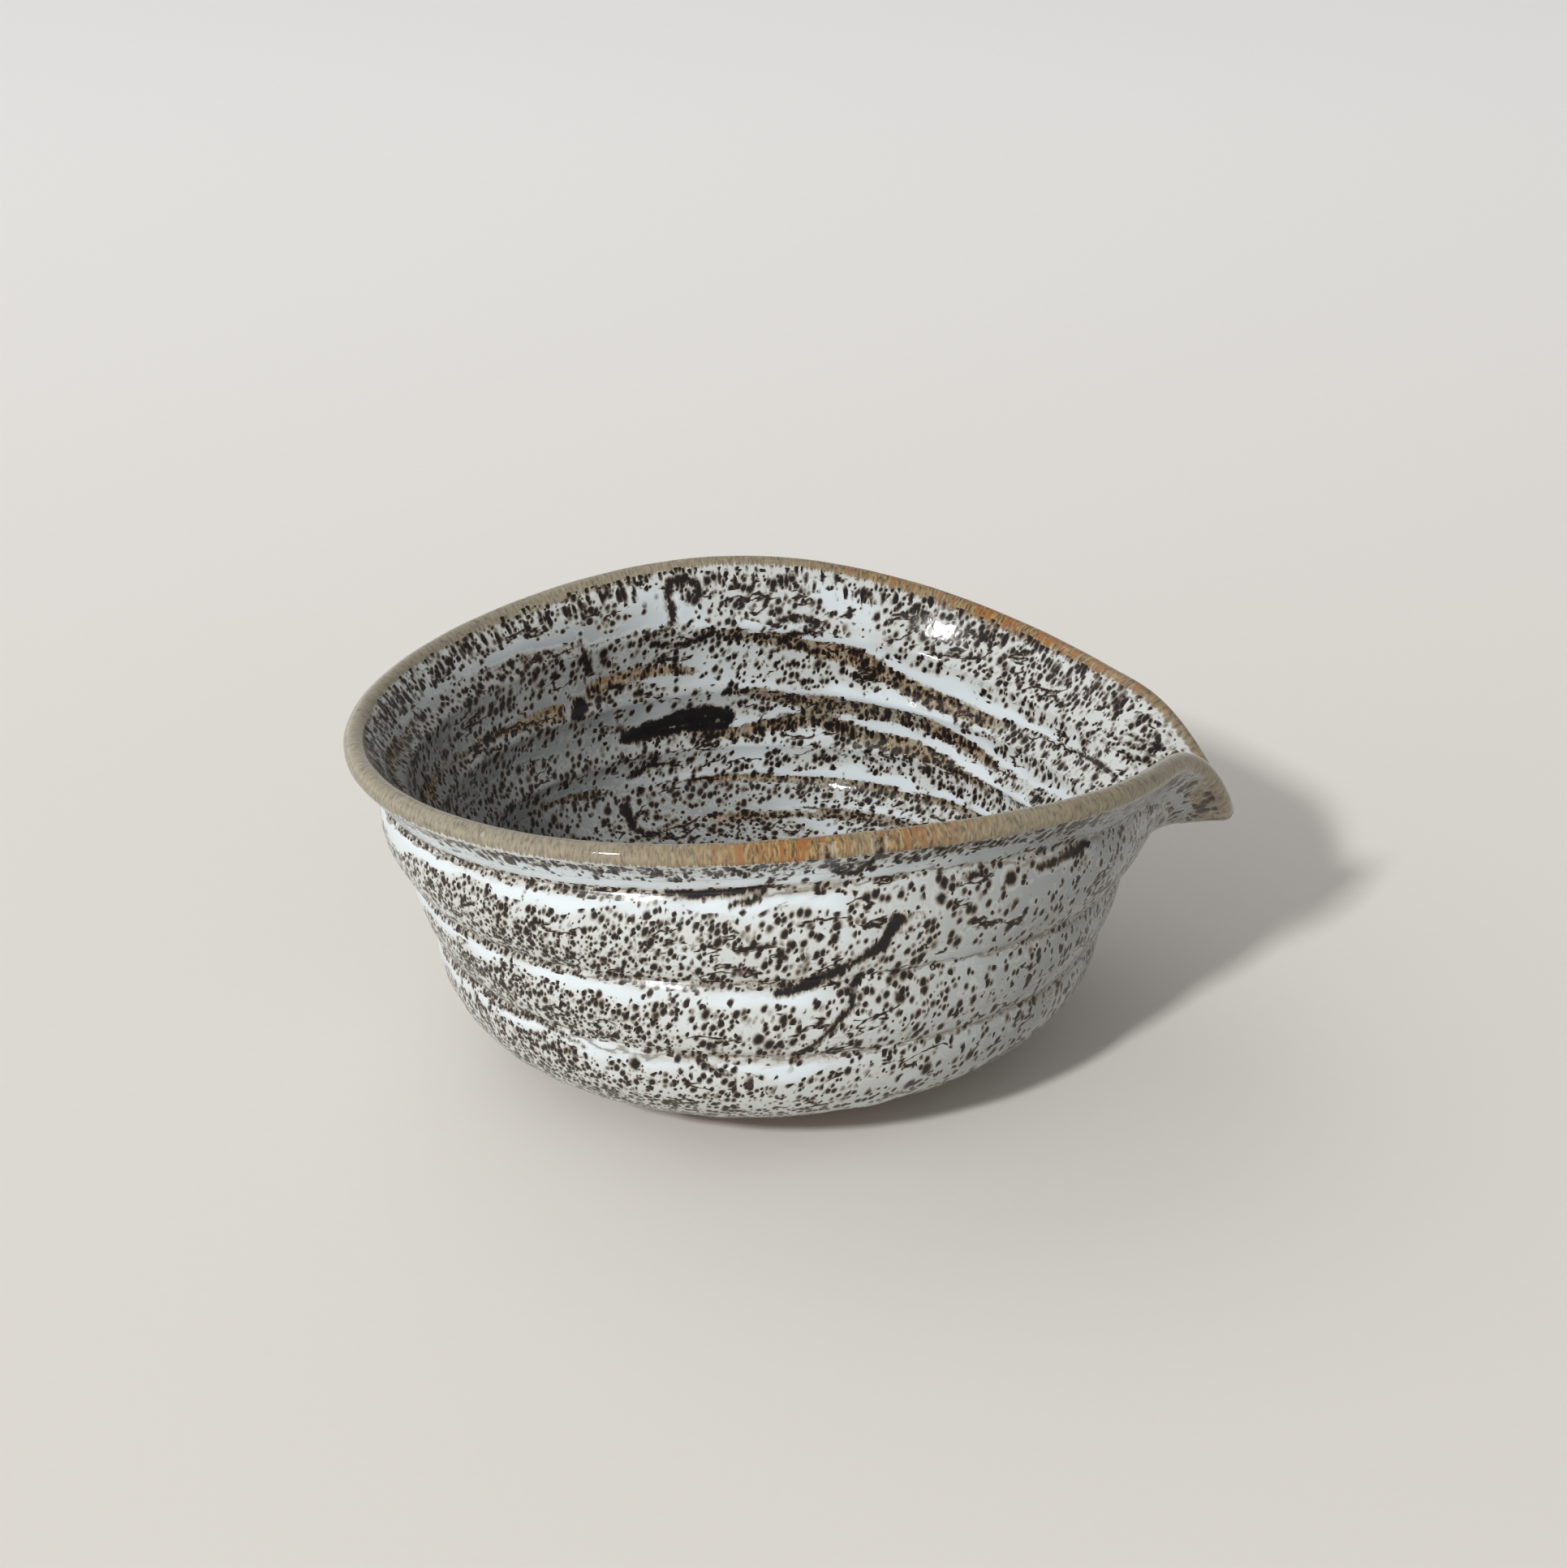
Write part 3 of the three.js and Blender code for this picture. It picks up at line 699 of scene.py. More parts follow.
low_part = fade(stroke_gap("out", *LOW_STRIP) + 0.6 * wobble, -0.6, 0.9)
thin_in = np.maximum(thin_in, 0.95 * strip_part)
thin_out = np.maximum(thin_out, 0.9 * low_part)
pool_in = pool_in * (1 - strip_part)
print("amber strips", len(STRIPS), "inside and one low outside")

# %% Amber where the glaze ran thin: round the lip and on the ridges
LIP_AMBER = [
    (-180, 0.05), (-140, 0.0), (-118, 0.1), (-106, 0.35), (-98, 0.8), (-90, 1.0),
    (-84, 0.9), (-80, 0.5), (-74, 0.85), (-66, 0.5), (-58, 0.15), (-30, 0.05),
    (-8, 0.15), (0, 0.4), (8, 0.3), (14, 0.6), (24, 0.7), (34, 0.9),
    (46, 1.0), (56, 0.6), (66, 0.8), (80, 0.25), (110, 0.1), (150, 0.0),
]
LIP_AMBER_END = 6
wall_amber = np.clip(0.3 + 0.4 * wander(around, level, 83, 9, 0.2), 0, 0.8)
amber = np.maximum.reduce([
    along_turn(around, LIP_AMBER) * fade(from_lip, 3, LIP_AMBER_END),
    wall_amber * (from_lip > LIP_AMBER_END),
    0.75 * strip_part * (1 - outside_part),
    low_part,
])
print("mean amber at the lip", round(float(amber[from_lip < 3].mean()), 2))

# %% [markdown]
# The two coats met on the lip and melted into one. So each field slides over the lip from its
# outside value to its inside value. The melted coat also has a low relief: pools stand proud,
# and thin places and crawl marks lie lower. A displacement texture could do it, but the skin
# is fine enough to carry it in its own points, and so it stays inside the measured coat.

# %% Join the two sides of the lip
def both_sides(outer, inner):
    return outer * outside_part + inner * (1 - outside_part)


fields = {
    "pool": both_sides(pool_out, pool_in),
    "crowd": both_sides(crowd_out, crowd_in),
    "fine": both_sides(fine_out, fine_in),
    "thin": both_sides(thin_out, thin_in),
    "amber": amber,
    "painted_shade": both_sides(painted_shade_out, painted_shade_in),
    "satin": outside_part * ease(from_lip, 5, 8),
    "crease_shade": np.where(outside_part > 0.5, crease_shade_out, NO_MARK),
    "shade_haze_strength": np.clip(0.5 + 0.6 * waver(22, 8), 0, 1),
    "crawl": np.minimum(crawl_gap, np.where(outside_part > 0.5, NO_MARK, edge_in)),
    "drop": drop_gap,
    "lip_way": from_lip,
}
print("fields:", ", ".join(fields))

# %% The low relief of the melted coat, lower where the coat is thinner
POOL_SWELL = 0.1
THIN_DIP = 0.05
CRAWL_DIP = 0.12
RIPPLE = 0.04
EDGE_ROWS = 2
SHORTEST_NORMAL = 1e-9
coat_relief = POOL_SWELL * fields["pool"] - THIN_DIP * fields["thin"]
coat_relief = coat_relief - CRAWL_DIP * fade(crawl_gap, -0.4, 0.4)
coat_relief = coat_relief + RIPPLE * wander(around, path[:, None], 91, 40, 1.2)
coat_share = glaze_at(np.maximum(level, BELLY_Z)) / GLAZE
coat_relief = (coat_relief - coat_relief.max()) * coat_share
coat_relief[-1] = coat_relief[-1].mean()
coat_relief[:EDGE_ROWS] = 0
step_out = np.roll(glaze_front, -1, axis=1) - np.roll(glaze_front, 1, axis=1)
step_up = np.gradient(glaze_front, axis=0)
raised = np.cross(step_out, step_up)
length = np.linalg.norm(raised, axis=-1, keepdims=True)
raised = np.divide(raised, length, out=np.zeros_like(raised), where=length > SHORTEST_NORMAL)
raised[-1] = (0, 0, 1)
glaze_front = glaze_front + raised * coat_relief[..., None]
print("relief from", round(float(coat_relief.min()), 2), "to", round(float(coat_relief.max()), 2), "mm")

# %% The way the melt ran: round the bowl, and down from the lip
FLOW_RADIUS = 54
true_radius = np.hypot(glaze_front[..., 0], glaze_front[..., 1])
blend = ease(from_lip, 6, 20)
flow_radius = FLOW_RADIUS * (1 - blend) + true_radius * blend
way_down = path[:, None] + 0 * around
flow = np.stack([flow_radius * np.cos(around), flow_radius * np.sin(around), way_down], -1)
print("flow field", flow.shape)

# %% Turn the glaze skin, and give it the fields
glaze_places = np.concatenate([glaze_front, glaze_back[::-1]])
glaze_coat, rows, steps = turn_skin("glaze_coat", glaze_places, True)
on_face = rows < front_count
for name, field in fields.items():
    values = np.zeros(len(rows), dtype=np.float32)
    values[on_face] = field[rows[on_face], steps[on_face]]
    glaze_coat.data.attributes.new(name, "FLOAT", "POINT").data.foreach_set("value", values)
run_down = np.zeros((len(rows), 3), dtype=np.float32)
run_down[on_face] = flow[rows[on_face], steps[on_face]]
glaze_coat.data.attributes.new("flow", "FLOAT_VECTOR", "POINT").data.foreach_set("vector", run_down.ravel())
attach(glaze_coat, "root")
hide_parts("inside_glaze", "outside_glaze")

# %% [markdown]
# The clay shows only underneath, between the edge of the glaze and the foot. It is the same
# wall without its coat, closed at the middle of the floor and of the underside, with the
# faint spiral that a trimming tool leaves in the well of the foot.

# %% The well of the foot, with its trimming spiral
TRIM_GROOVE = 0.12
TRIM_PITCH = 2.6
TRIM_START = 20
TRIM_END = 22.5
WELL_OVERLAP = 1
well_radii = np.concatenate([np.linspace(0, FOOT_INNER_RADIUS, 60), [FOOT_OUTER_RADIUS + WELL_OVERLAP]])
radii = well_radii[:, None]
spiral = np.sin(2 * np.pi * radii / TRIM_PITCH + angles) * ease(radii, 1, 4)
grooves = TRIM_GROOVE * (1 + spiral) * fade(radii, TRIM_START, TRIM_END)
well = np.stack([radii * np.cos(angles), radii * np.sin(angles), FOOT_HEIGHT + grooves], -1)
print("grooves up to", round(float(grooves.max()), 2), "mm deep")

# %% Turn the clay
CLAY_STEP = 3
ledge_rows = np.linspace(1, 0, 20)[:-1]
clay_wall = bowl_rows(1.0, CLAY_STEP, [(under_face, ledge_rows), *wall_kinds])
clay_bowl, rows, steps = turn_skin("clay_bowl", np.concatenate([well, clay_wall]), False)
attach(clay_bowl, "root")
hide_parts("clay_body")

# %% [markdown]
# The foot ring was luted on and trimmed. Six corners spun round the axis make it, and a small
# bevel softens the edges that a sponge would have softened.

# %% Turn the foot ring
FOOT_BEVEL = 0.3
SHARP_EDGE = 0.3
CRISP_ANGLE = math.radians(50)
corners = [
    (FOOT_INNER_RADIUS + FOOT_CHAMFER, 0),
    (FOOT_OUTER_RADIUS - FOOT_CHAMFER, 0),
    (FOOT_OUTER_RADIUS, FOOT_CHAMFER),
    (FOOT_OUTER_RADIUS + FOOT_FLARE, FOOT_HEIGHT),
    (FOOT_INNER_RADIUS - FOOT_FLARE, FOOT_HEIGHT),
    (FOOT_INNER_RADIUS, FOOT_CHAMFER),
]
bm = bmesh.new()
column = [bm.verts.new((radius, 0, z)) for radius, z in corners]
edges = [bm.edges.new(pair) for pair in zip(column, column[1:] + column[:1])]
spin_round(bm, column, edges, STEPS // 2)
bmesh.ops.recalc_face_normals(bm, faces=bm.faces)
low = [edge for edge in bm.edges if edge.calc_face_angle(0) > SHARP_EDGE
       and all(vert.co.z < FOOT_HEIGHT - 1 for vert in edge.verts)]
bmesh.ops.bevel(bm, geom=low, offset=FOOT_BEVEL, affect="EDGES", segments=3, profile=0.5, material=-1)
bmesh.ops.translate(bm, verts=bm.verts, vec=Vector(AXIS))
bmesh.ops.scale(bm, verts=bm.verts, vec=(0.001, 0.001, 0.001))
foot = make_piece("foot", bm)
foot.data.set_sharp_from_angle(angle=CRISP_ANGLE)
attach(foot, "root")
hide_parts("foot_ring")

# %% [markdown]
# The finishes are built from nodes. Small helpers keep the wiring readable: one adds a node,
# one does arithmetic, one mixes two colours, and others stretch a pattern or read a field.

# %% Helpers for node wiring
class Bench:
    def __init__(self, name):
        self.material = bpy.data.materials.new(name)
        self.material.use_nodes = True
        self.tree = self.material.node_tree
        self.shader = self.tree.nodes["Principled BSDF"]

    def add(self, kind, **settings):
        node = self.tree.nodes.new(kind)
        for key, value in settings.items():
            setattr(node, key, value)
        return node

    def feed(self, socket, value):
        if isinstance(value, bpy.types.NodeSocket):
            self.tree.links.new(value, socket)
        else:
            socket.default_value = value

    def math(self, operation, first, second=0.0, third=0.0):
        node = self.add("ShaderNodeMath", operation=operation)
        for socket, value in zip(node.inputs, (first, second, third)):
            self.feed(socket, value)
        return node.outputs[0]

    def ease(self, value, start, end, low=0.0, high=1.0):
        node = self.add("ShaderNodeMapRange", interpolation_type="SMOOTHSTEP")
        for socket, number in zip(node.inputs, (value, start, end, low, high)):
            self.feed(socket, number)
        return node.outputs[0]

    def mix(self, factor, first, second):
        node = self.add("ShaderNodeMix", data_type="RGBA")
        self.feed(node.inputs[0], factor)
        self.feed(node.inputs[6], first)
        self.feed(node.inputs[7], second)
        return node.outputs[2]

    def place(self):
        return self.stretch(self.add("ShaderNodeTexCoord").outputs["Object"], MM)

    def field(self, name):
        return self.add("ShaderNodeAttribute", attribute_name=name).outputs["Fac"]

    def stretch(self, vector, scale):
        node = self.add("ShaderNodeMapping")
        self.feed(node.inputs["Vector"], vector)
        node.inputs["Scale"].default_value = scale
        return node.outputs[0]

    def noise(self, vector, scale, detail=2.0, output="Fac"):
        node = self.add("ShaderNodeTexNoise")
        self.feed(node.inputs["Vector"], vector)
        node.inputs["Scale"].default_value = scale
        node.inputs["Detail"].default_value = detail
        return node.outputs[output]

    def cells(self, vector, scale, scatter=1.0):
        node = self.add("ShaderNodeTexVoronoi")
        self.feed(node.inputs["Vector"], vector)
        node.inputs["Scale"].default_value = scale
        node.inputs["Randomness"].default_value = scatter
        return node.outputs

    def roughen(self, height, strength, distance):
        node = self.add("ShaderNodeBump")
        node.inputs["Strength"].default_value = strength
        node.inputs["Distance"].default_value = distance
        self.feed(node.inputs["Height"], height)
        self.feed(self.shader.inputs["Normal"], node.outputs[0])


MM = (1000.0, 1000.0, 1000.0)


def paint(red, green, blue):
    return (red, green, blue, 1.0)


print("patterns are laid out in millimetres, by a scale of", MM[0])

# %% [markdown]
# Iron specks are small round spots with a black heart, a rusty rim and a pale halo. A Voronoi
# texture gives every spot a centre, and the distance from it, divided by the spot's radius,
# says where in the spot a point lies. Three sizes of speck, the drops combed under the lip,
# the crawl marks, the round drops and the fine veins all share that number. The smallest one
# wins, so all of them get the same heart, rim and halo.

# %% The white glaze: where a point is, a little bent and leaning, and where its melt ran
LEAN_DIRECTION = (0.41, 0.0, 0.91)
LEAN_SQUEEZE = 0.64
RUN_STRETCH = (1.0, 1.0, 0.36)
glaze = Bench("white iron glaze")
place = glaze.place()
flow_way = glaze.add("ShaderNodeAttribute", attribute_name="flow").outputs["Vector"]


def bend(vector, scale, amount):
    node = glaze.add("ShaderNodeVectorMath", operation="MULTIPLY_ADD")
    glaze.feed(node.inputs[0], glaze.noise(vector, scale, 2.0, "Color"))
    node.inputs[1].default_value = (amount, amount, amount)
    glaze.feed(node.inputs[2], vector)
    return node.outputs[0]


def lean(vector, direction, squeeze):
    along = glaze.add("ShaderNodeVectorMath", operation="DOT_PRODUCT")
    glaze.feed(along.inputs[0], vector)
    along.inputs[1].default_value = direction
    pull = glaze.add("ShaderNodeVectorMath", operation="SCALE")
    pull.inputs[0].default_value = direction
    glaze.feed(pull.inputs["Scale"], glaze.math("MULTIPLY", along.outputs["Value"], squeeze - 1))
    total = glaze.add("ShaderNodeVectorMath", operation="ADD")
    glaze.feed(total.inputs[0], vector)
    glaze.feed(total.inputs[1], pull.outputs[0])
    return total.outputs[0]


bent = lean(bend(place, 0.9, 0.4), LEAN_DIRECTION, LEAN_SQUEEZE)
runny = glaze.stretch(bend(flow_way, 1.0, 0.5), RUN_STRETCH)
print("specks lean along", LEAN_DIRECTION)

# %% The fields that the glaze reads, with the specks gathered in clumps
pool = glaze.field("pool")
fine = glaze.field("fine")
thin = glaze.field("thin")
amber_share = glaze.field("amber")
lip_way = glaze.field("lip_way")
crowd_field = glaze.field("crowd")
clumps = glaze.math("MULTIPLY_ADD", glaze.noise(bent, 0.4, 2.0), 0.5, -0.25)
clumps = glaze.math("MULTIPLY", clumps, glaze.ease(crowd_field, 0.0, 0.2))
crowd = glaze.math("ADD", crowd_field, clumps)
print("nodes in the glaze so far:", len(glaze.tree.nodes))

# %% A layer of spots: the distance from the middle of a spot, in its own radii
SMALLEST_SPOT = 0.45
SPOT_ARRIVAL = 0.12
NO_SPOT = 0.0001


def spots(vector, cell, radius, presence, scatter=1.0):
    texture = glaze.cells(vector, 1 / cell, scatter)
    luck = glaze.add("ShaderNodeSeparateColor")
    glaze.feed(luck.inputs[0], texture["Color"])
    size = glaze.math("MULTIPLY_ADD", luck.outputs[0], radius, radius * SMALLEST_SPOT)
    here = glaze.ease(glaze.math("SUBTRACT", presence, luck.outputs[1]), 0.0, SPOT_ARRIVAL)
    size = glaze.math("MULTIPLY", size, here)
    distance = glaze.math("MULTIPLY", texture["Distance"], cell)
    return glaze.math("DIVIDE", distance, glaze.math("ADD", size, NO_SPOT))


coarse = glaze.math("SUBTRACT", 1.0, fine)
big_share = glaze.math("MULTIPLY", crowd, glaze.math("MULTIPLY", coarse, 0.55))
big = spots(bent, 1.8, 0.5, glaze.math("ADD", big_share, 0.05))
even = spots(bent, 1.0, 0.37, glaze.math("MULTIPLY_ADD", crowd, 0.95, 0.04), scatter=0.8)
small_share = glaze.math("MULTIPLY", crowd, glaze.math("MULTIPLY_ADD", fine, 0.75, 0.2))
small = spots(bent, 0.66, 0.27, small_share, scatter=0.9)
under_lip = glaze.math("MULTIPLY", glaze.ease(lip_way, 2.8, 3.8), glaze.ease(lip_way, 9.0, 7.0))
comb_zone = glaze.math("MULTIPLY", glaze.math("MULTIPLY", thin, 0.9), glaze.ease(lip_way, 5.0, 7.0))
comb_share = glaze.math("MAXIMUM", glaze.math("MULTIPLY", under_lip, 0.7), comb_zone)
comb = spots(runny, 0.85, 0.40, comb_share, scatter=0.85)
print("nodes with the specks:", len(glaze.tree.nodes))

# %% Crawl marks, drops and veins on the same scale, and the smallest number of all
HAIR_STRETCH = (1.0, 1.0, 0.25)
GRAIN_STRETCH = (0.15, 0.15, 0.5)
RIFT_STRETCH = (0.16, 0.16, 0.3)
hairs = glaze.noise(glaze.stretch(flow_way, HAIR_STRETCH), 2.4, 1.0)
rough_gap = glaze.math("MULTIPLY_ADD", glaze.noise(bent, 0.75, 3.0), 1.5, -0.65)
rough_gap = glaze.math("ADD", rough_gap, glaze.math("MULTIPLY_ADD", hairs, 0.8, -0.4))
crawl = glaze.math("ADD", glaze.field("crawl"), rough_gap)
crawl = glaze.math("MULTIPLY_ADD", crawl, 1.7, 0.85)
drop = glaze.math("MULTIPLY_ADD", glaze.field("drop"), 1.5, 0.8)
grain = glaze.noise(glaze.stretch(bent, GRAIN_STRETCH), 1.0, 3.0)
rift = glaze.noise(glaze.stretch(place, RIFT_STRETCH), 1.0, 1.0)
unveined = glaze.ease(glaze.math("MULTIPLY_ADD", pool, -0.12, rift), 0.60, 0.50, 0.45, 2.8)
vein = glaze.math("ABSOLUTE", glaze.math("SUBTRACT", grain, 0.5))
vein = glaze.math("ADD", glaze.math("MULTIPLY", vein, 30.0), unveined)
vein = glaze.math("ADD", vein, glaze.ease(lip_way, 6.0, 3.0, 0.0, 3.0))
spot = big
for other in (even, small, comb, crawl, drop, vein):
    spot = glaze.math("MINIMUM", spot, other)
print("nodes with the crawl marks and veins:", len(glaze.tree.nodes))

# %% [markdown]
# Under the specks lies the ground: milky over most of the wall, whiter in the pools, and
# painted grey as shade at the front right and on the inside left. Where the coat is thin, the
# ground burns to tan and honey, and at the hottest places to umber, gold and amber. Two noises
# stretched along the flow give those colours their hairs, because the glass ran as it melted.

# %% Ground colours under the specks
WHITE = paint(0.58, 0.63, 0.655)
MILK = paint(0.49, 0.505, 0.49)
PAINTED_SHADE_GREY = paint(0.25, 0.262, 0.262)
TAN = paint(0.185, 0.162, 0.118)
HONEY = paint(0.265, 0.235, 0.165)
UMBER = paint(0.065, 0.026, 0.007)
GOLD = paint(0.33, 0.225, 0.075)
AMBER = paint(0.25, 0.085, 0.006)
SOOT = paint(0.045, 0.03, 0.02)
FUR_STRETCH = (1.0, 1.0, 0.28)
FLAME_STRETCH = (1.0, 1.0, 0.12)
ground = glaze.mix(pool, MILK, WHITE)
# Painted shade: the ground turns grey where the bowl lies in shade, at the front right and inside left.
ground = glaze.mix(glaze.field("painted_shade"), ground, PAINTED_SHADE_GREY)
fur = glaze.noise(glaze.stretch(flow_way, FUR_STRETCH), 2.6, 3.0)
fur_share = glaze.ease(fur, 0.34, 0.66)
flame = glaze.noise(glaze.stretch(flow_way, FLAME_STRETCH), 1.3, 3.0)
fiery = glaze.mix(fur_share, UMBER, GOLD)
fiery = glaze.mix(glaze.ease(flame, 0.46, 0.62), fiery, AMBER)
burnt = glaze.mix(fur_share, TAN, HONEY)
burnt = glaze.mix(amber_share, burnt, fiery)
sooty = glaze.math("MULTIPLY", glaze.ease(fur, 0.40, 0.32), 0.4)
burnt = glaze.mix(sooty, burnt, SOOT)
thin_edge = glaze.math("MULTIPLY_ADD", fur, -1.6, 0.6)
thin_edge = glaze.math("MULTIPLY_ADD", thin, 1.7, thin_edge)
thin_share = glaze.math("MULTIPLY", glaze.ease(thin_edge, 0.4, 0.85), 0.95)
ground = glaze.mix(thin_share, ground, burnt)
print("nodes with the ground colours:", len(glaze.tree.nodes))

# %% Painted shade along the creases: a wide haze and a narrow dark line in it
SHADE_LINE = paint(0.16, 0.14, 0.115)
SHADE_HAZE = paint(0.30, 0.27, 0.215)
SHADE_LINE_STRETCH = (0.45, 0.45, 1.6)
crease_noise = glaze.noise(glaze.stretch(bent, SHADE_LINE_STRETCH), 0.7, 3.0)
crease_shade_gap = glaze.math("ADD", glaze.field("crease_shade"), glaze.math("MULTIPLY_ADD", crease_noise, 3.0, -1.5))
crease_shade_gap = glaze.math("ABSOLUTE", crease_shade_gap)
# Painted shade under each band, darkest right at the crease.
shade_haze_share = glaze.math("MULTIPLY", glaze.field("shade_haze_strength"), 0.55)
shade_haze_share = glaze.math("MULTIPLY", glaze.ease(crease_shade_gap, 1.5, 0.1), shade_haze_share)
ground = glaze.mix(shade_haze_share, ground, SHADE_HAZE)
shade_line_share = glaze.math("MULTIPLY", glaze.ease(crease_shade_gap, 0.32, 0.1), 0.75)
ground = glaze.mix(shade_line_share, ground, SHADE_LINE)
print("nodes with the smears:", len(glaze.tree.nodes))

# %% Hearts, rims and halos
RAMP_SHARE = 0.4
HEART_TO_HALO = [
    (0.0, (0.008, 0.007, 0.008, 1.0)),
    (0.27, (0.012, 0.009, 0.009, 1.0)),
    (0.35, (0.040, 0.021, 0.013, 0.97)),
    (0.43, (0.090, 0.066, 0.042, 0.82)),
    (0.54, (0.20, 0.175, 0.130, 0.50)),
    (0.68, (0.42, 0.42, 0.38, 0.25)),
    (0.85, (0.63, 0.66, 0.67, 0.22)),
    (1.0, (0.65, 0.68, 0.69, 0.0)),
]
ramp = glaze.add("ShaderNodeValToRGB")
glaze.feed(ramp.inputs[0], glaze.math("MULTIPLY", spot, RAMP_SHARE))
while len(ramp.color_ramp.elements) < len(HEART_TO_HALO):
    ramp.color_ramp.elements.new(0.5)
for element, (position, colour) in zip(ramp.color_ramp.elements, HEART_TO_HALO):
    element.position = position
    element.color = colour
speckled = glaze.mix(ramp.outputs["Alpha"], ground, ramp.outputs["Color"])
glaze.feed(glaze.shader.inputs["Base Color"], speckled)
print("speck colours:", len(HEART_TO_HALO))

# %% [markdown]
# The coat melted to a soft gloss, a little duller on the outside. Iron specks are duller than
# the glass round them and lie slightly sunk, which a faint bump gives more cheaply than faces.

# %% Gloss and the faint unevenness of a melted coat
GLASS_SHINE = 0.28
SPECK_ROUGHNESS = 0.14
GLASS_ROUGHNESS = 0.06
SATIN_ROUGHNESS = 0.12
SPECK_DEPTH = 0.12
glaze.shader.inputs["Specular IOR Level"].default_value = GLASS_SHINE
gloss = glaze.ease(spot, 0.6, 1.2, SPECK_ROUGHNESS, GLASS_ROUGHNESS)
gloss = glaze.math("MULTIPLY_ADD", glaze.field("satin"), SATIN_ROUGHNESS, gloss)
glaze.feed(glaze.shader.inputs["Roughness"], gloss)
peel = glaze.noise(place, 0.55, 2.0)
dent = glaze.math("MULTIPLY", glaze.ease(spot, 0.4, 1.2), SPECK_DEPTH)
glaze.roughen(glaze.math("ADD", peel, dent), strength=0.3, distance=0.00012)
glaze_coat.data.materials.append(glaze.material)
print("nodes in the finished glaze:", len(glaze.tree.nodes))

# %% [markdown]
# Fired stoneware is matt and sandy. Its brown drifts slowly, has small dark grains of iron and
# a dry, finely pitted skin.

# %% The bare clay
DARK_BROWN = paint(0.20, 0.125, 0.075)
LIGHT_BROWN = paint(0.31, 0.215, 0.14)
SAND = paint(0.36, 0.27, 0.19)
IRON = paint(0.05, 0.035, 0.03)
clay = Bench("fired stoneware")
place = clay.place()
drift = clay.noise(place, 0.09, 3.0)
sand = clay.noise(place, 2.6, 3.0)
grains = clay.cells(place, 0.7)
body = clay.mix(clay.ease(drift, 0.3, 0.7), DARK_BROWN, LIGHT_BROWN)
body = clay.mix(clay.ease(sand, 0.35, 0.75), body, SAND)
body = clay.mix(clay.ease(grains["Distance"], 0.24, 0.14), body, IRON)
clay.feed(clay.shader.inputs["Base Color"], body)
clay.feed(clay.shader.inputs["Roughness"], clay.ease(sand, 0.2, 0.8, 0.7, 0.92))
clay.roughen(sand, strength=0.6, distance=0.0002)
for piece in (clay_bowl, foot):
    piece.data.materials.append(clay.material)
print("finishes:", glaze.material.name, "and", clay.material.name)

# %% [markdown]
# The bowl stands on a pale seamless sheet, painted darker and warmer near the viewer as shade,
# where the lamp light falls off. One soft lamp from the front left gives the shadow and the
# small highlights, and a large weak one behind lights the inside. The pale room fills the rest:
# it is brightest at the left and at the horizon, and dim overhead, so that the gloss shows a
# bright side and a dark one.

# %% The sheet under the bowl
SHEET_SIZE = 4.0
SHADED_NEAR_PAPER = paint(0.70, 0.675, 0.625)
LIT_FAR_PAPER = paint(0.86, 0.85, 0.835)
FIBRE = paint(0.5, 0.47, 0.44)
bm = bmesh.new()
bmesh.ops.create_grid(bm, x_segments=8, y_segments=8, size=SHEET_SIZE)
sheet = make_piece("pale_sheet", bm)
paper = Bench("pale paper")
parts = paper.add("ShaderNodeSeparateXYZ")
paper.feed(parts.inputs[0], paper.add("ShaderNodeTexCoord").outputs["Object"])
# Painted shade: the sheet goes darker and warmer towards the viewer, where the lamp light falls off.
tone = paper.mix(paper.ease(parts.outputs[1], -0.2, 0.75), SHADED_NEAR_PAPER, LIT_FAR_PAPER)
fibre = paper.noise(paper.place(), 0.5, 3.0)
tone = paper.mix(paper.math("MULTIPLY", fibre, 0.06), tone, FIBRE)
paper.feed(paper.shader.inputs["Base Color"], tone)
paper.feed(paper.shader.inputs["Roughness"], 0.9)
sheet.data.materials.append(paper.material)

# %% Lamps
LAMP_DISTANCE = 4.0


def hang_lamp(name, azimuth, elevation, size, power):
    lamp = bpy.data.lights.new(name, "AREA")
    lamp.shape = "SQUARE"
    lamp.size = size
    lamp.energy = power
    holder = bpy.data.objects.new(name, lamp)
    a, e = math.radians(azimuth), math.radians(elevation)
    towards = Vector((math.cos(a) * math.cos(e), math.sin(a) * math.cos(e), math.sin(e)))
    holder.location = towards * LAMP_DISTANCE
    holder.rotation_euler = towards.to_track_quat("Z", "Y").to_euler()
    bpy.context.scene.collection.objects.link(holder)
    print(name, "lamp,", size, "m wide,", power, "watts")


hang_lamp("window", azimuth=-126, elevation=34, size=0.32, power=122.0)
hang_lamp("sky", azimuth=120, elevation=55, size=2.6, power=16.0)

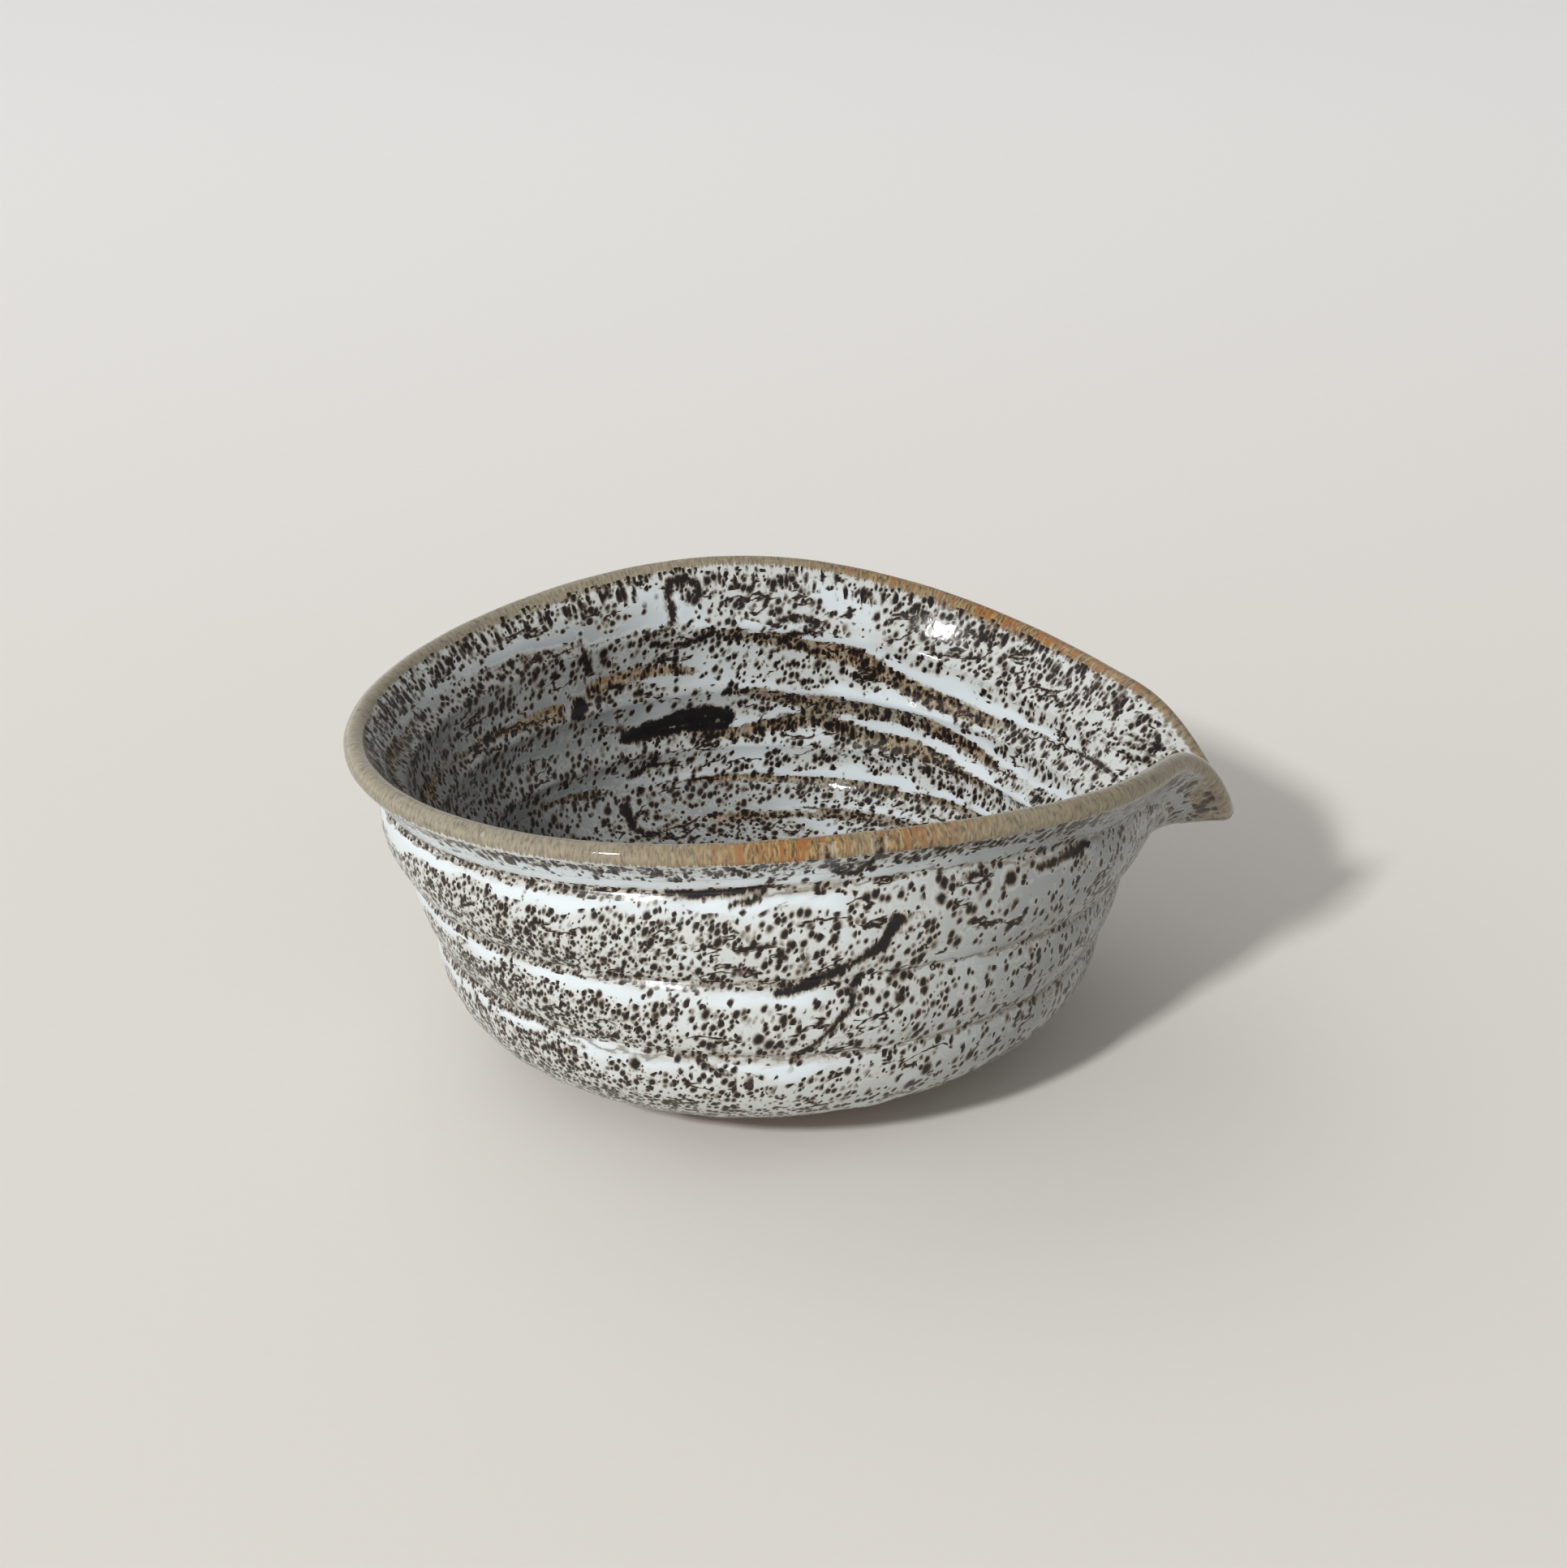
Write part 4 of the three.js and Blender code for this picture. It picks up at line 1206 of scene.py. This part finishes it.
# %% The pale room: its light depends on how high and how far to the right one looks
HORIZON = 1.08
OVERHEAD = 0.2
LEFT = 1.5
RIGHT = 0.44
world = bpy.data.worlds.new("pale room")
world.use_nodes = True
air = world.node_tree.nodes
wires = world.node_tree.links
ray = air.new("ShaderNodeTexCoord")
way = air.new("ShaderNodeSeparateXYZ")
wires.new(ray.outputs["Generated"], way.inputs[0])


def light_along(axis, start, end, low, high):
    share = air.new("ShaderNodeMapRange")
    wires.new(way.outputs[axis], share.inputs[0])
    for socket, number in zip(share.inputs[1:], (start, end, low, high)):
        socket.default_value = number
    return share.outputs[0]


both = air.new("ShaderNodeMath")
both.operation = "MULTIPLY"
wires.new(light_along(2, 0.0, 1.0, HORIZON, OVERHEAD), both.inputs[0])
wires.new(light_along(0, -1.0, 1.0, LEFT, RIGHT), both.inputs[1])
wires.new(both.outputs[0], air["Background"].inputs["Strength"])
air["Background"].inputs["Color"].default_value = paint(1.0, 0.99, 0.975)
bpy.context.scene.world = world
bpy.context.scene.view_settings.view_transform = "Standard"
print("light of the room at the horizon, left", HORIZON * LEFT, "and right", HORIZON * RIGHT)

# %% [markdown]
# The camera looks down at 25 degrees, with the spout turned a little away from it. Its view is
# 28 degrees wide, as a long lens gives, so the bowl keeps its true shape.

# %% The camera
CAMERA_AZIMUTH = math.radians(-4.4118)
CAMERA_TILT = math.radians(25)
CAMERA_DISTANCE = 0.5305
VIEW_ANGLE = math.radians(28)
LOOKING_AT = Vector((-0.000545, 0.018452, 0.0337))
look = Vector((
    -math.sin(CAMERA_AZIMUTH) * math.cos(CAMERA_TILT),
    math.cos(CAMERA_AZIMUTH) * math.cos(CAMERA_TILT),
    -math.sin(CAMERA_TILT),
))
lens = bpy.data.cameras.new("camera")
lens.sensor_fit = "HORIZONTAL"
lens.angle = VIEW_ANGLE
camera = bpy.data.objects.new("camera", lens)
camera.location = LOOKING_AT - look * CAMERA_DISTANCE
camera.rotation_euler = look.to_track_quat("-Z", "Y").to_euler()
bpy.context.scene.collection.objects.link(camera)
bpy.context.scene.camera = camera
print("camera", CAMERA_DISTANCE, "m away")
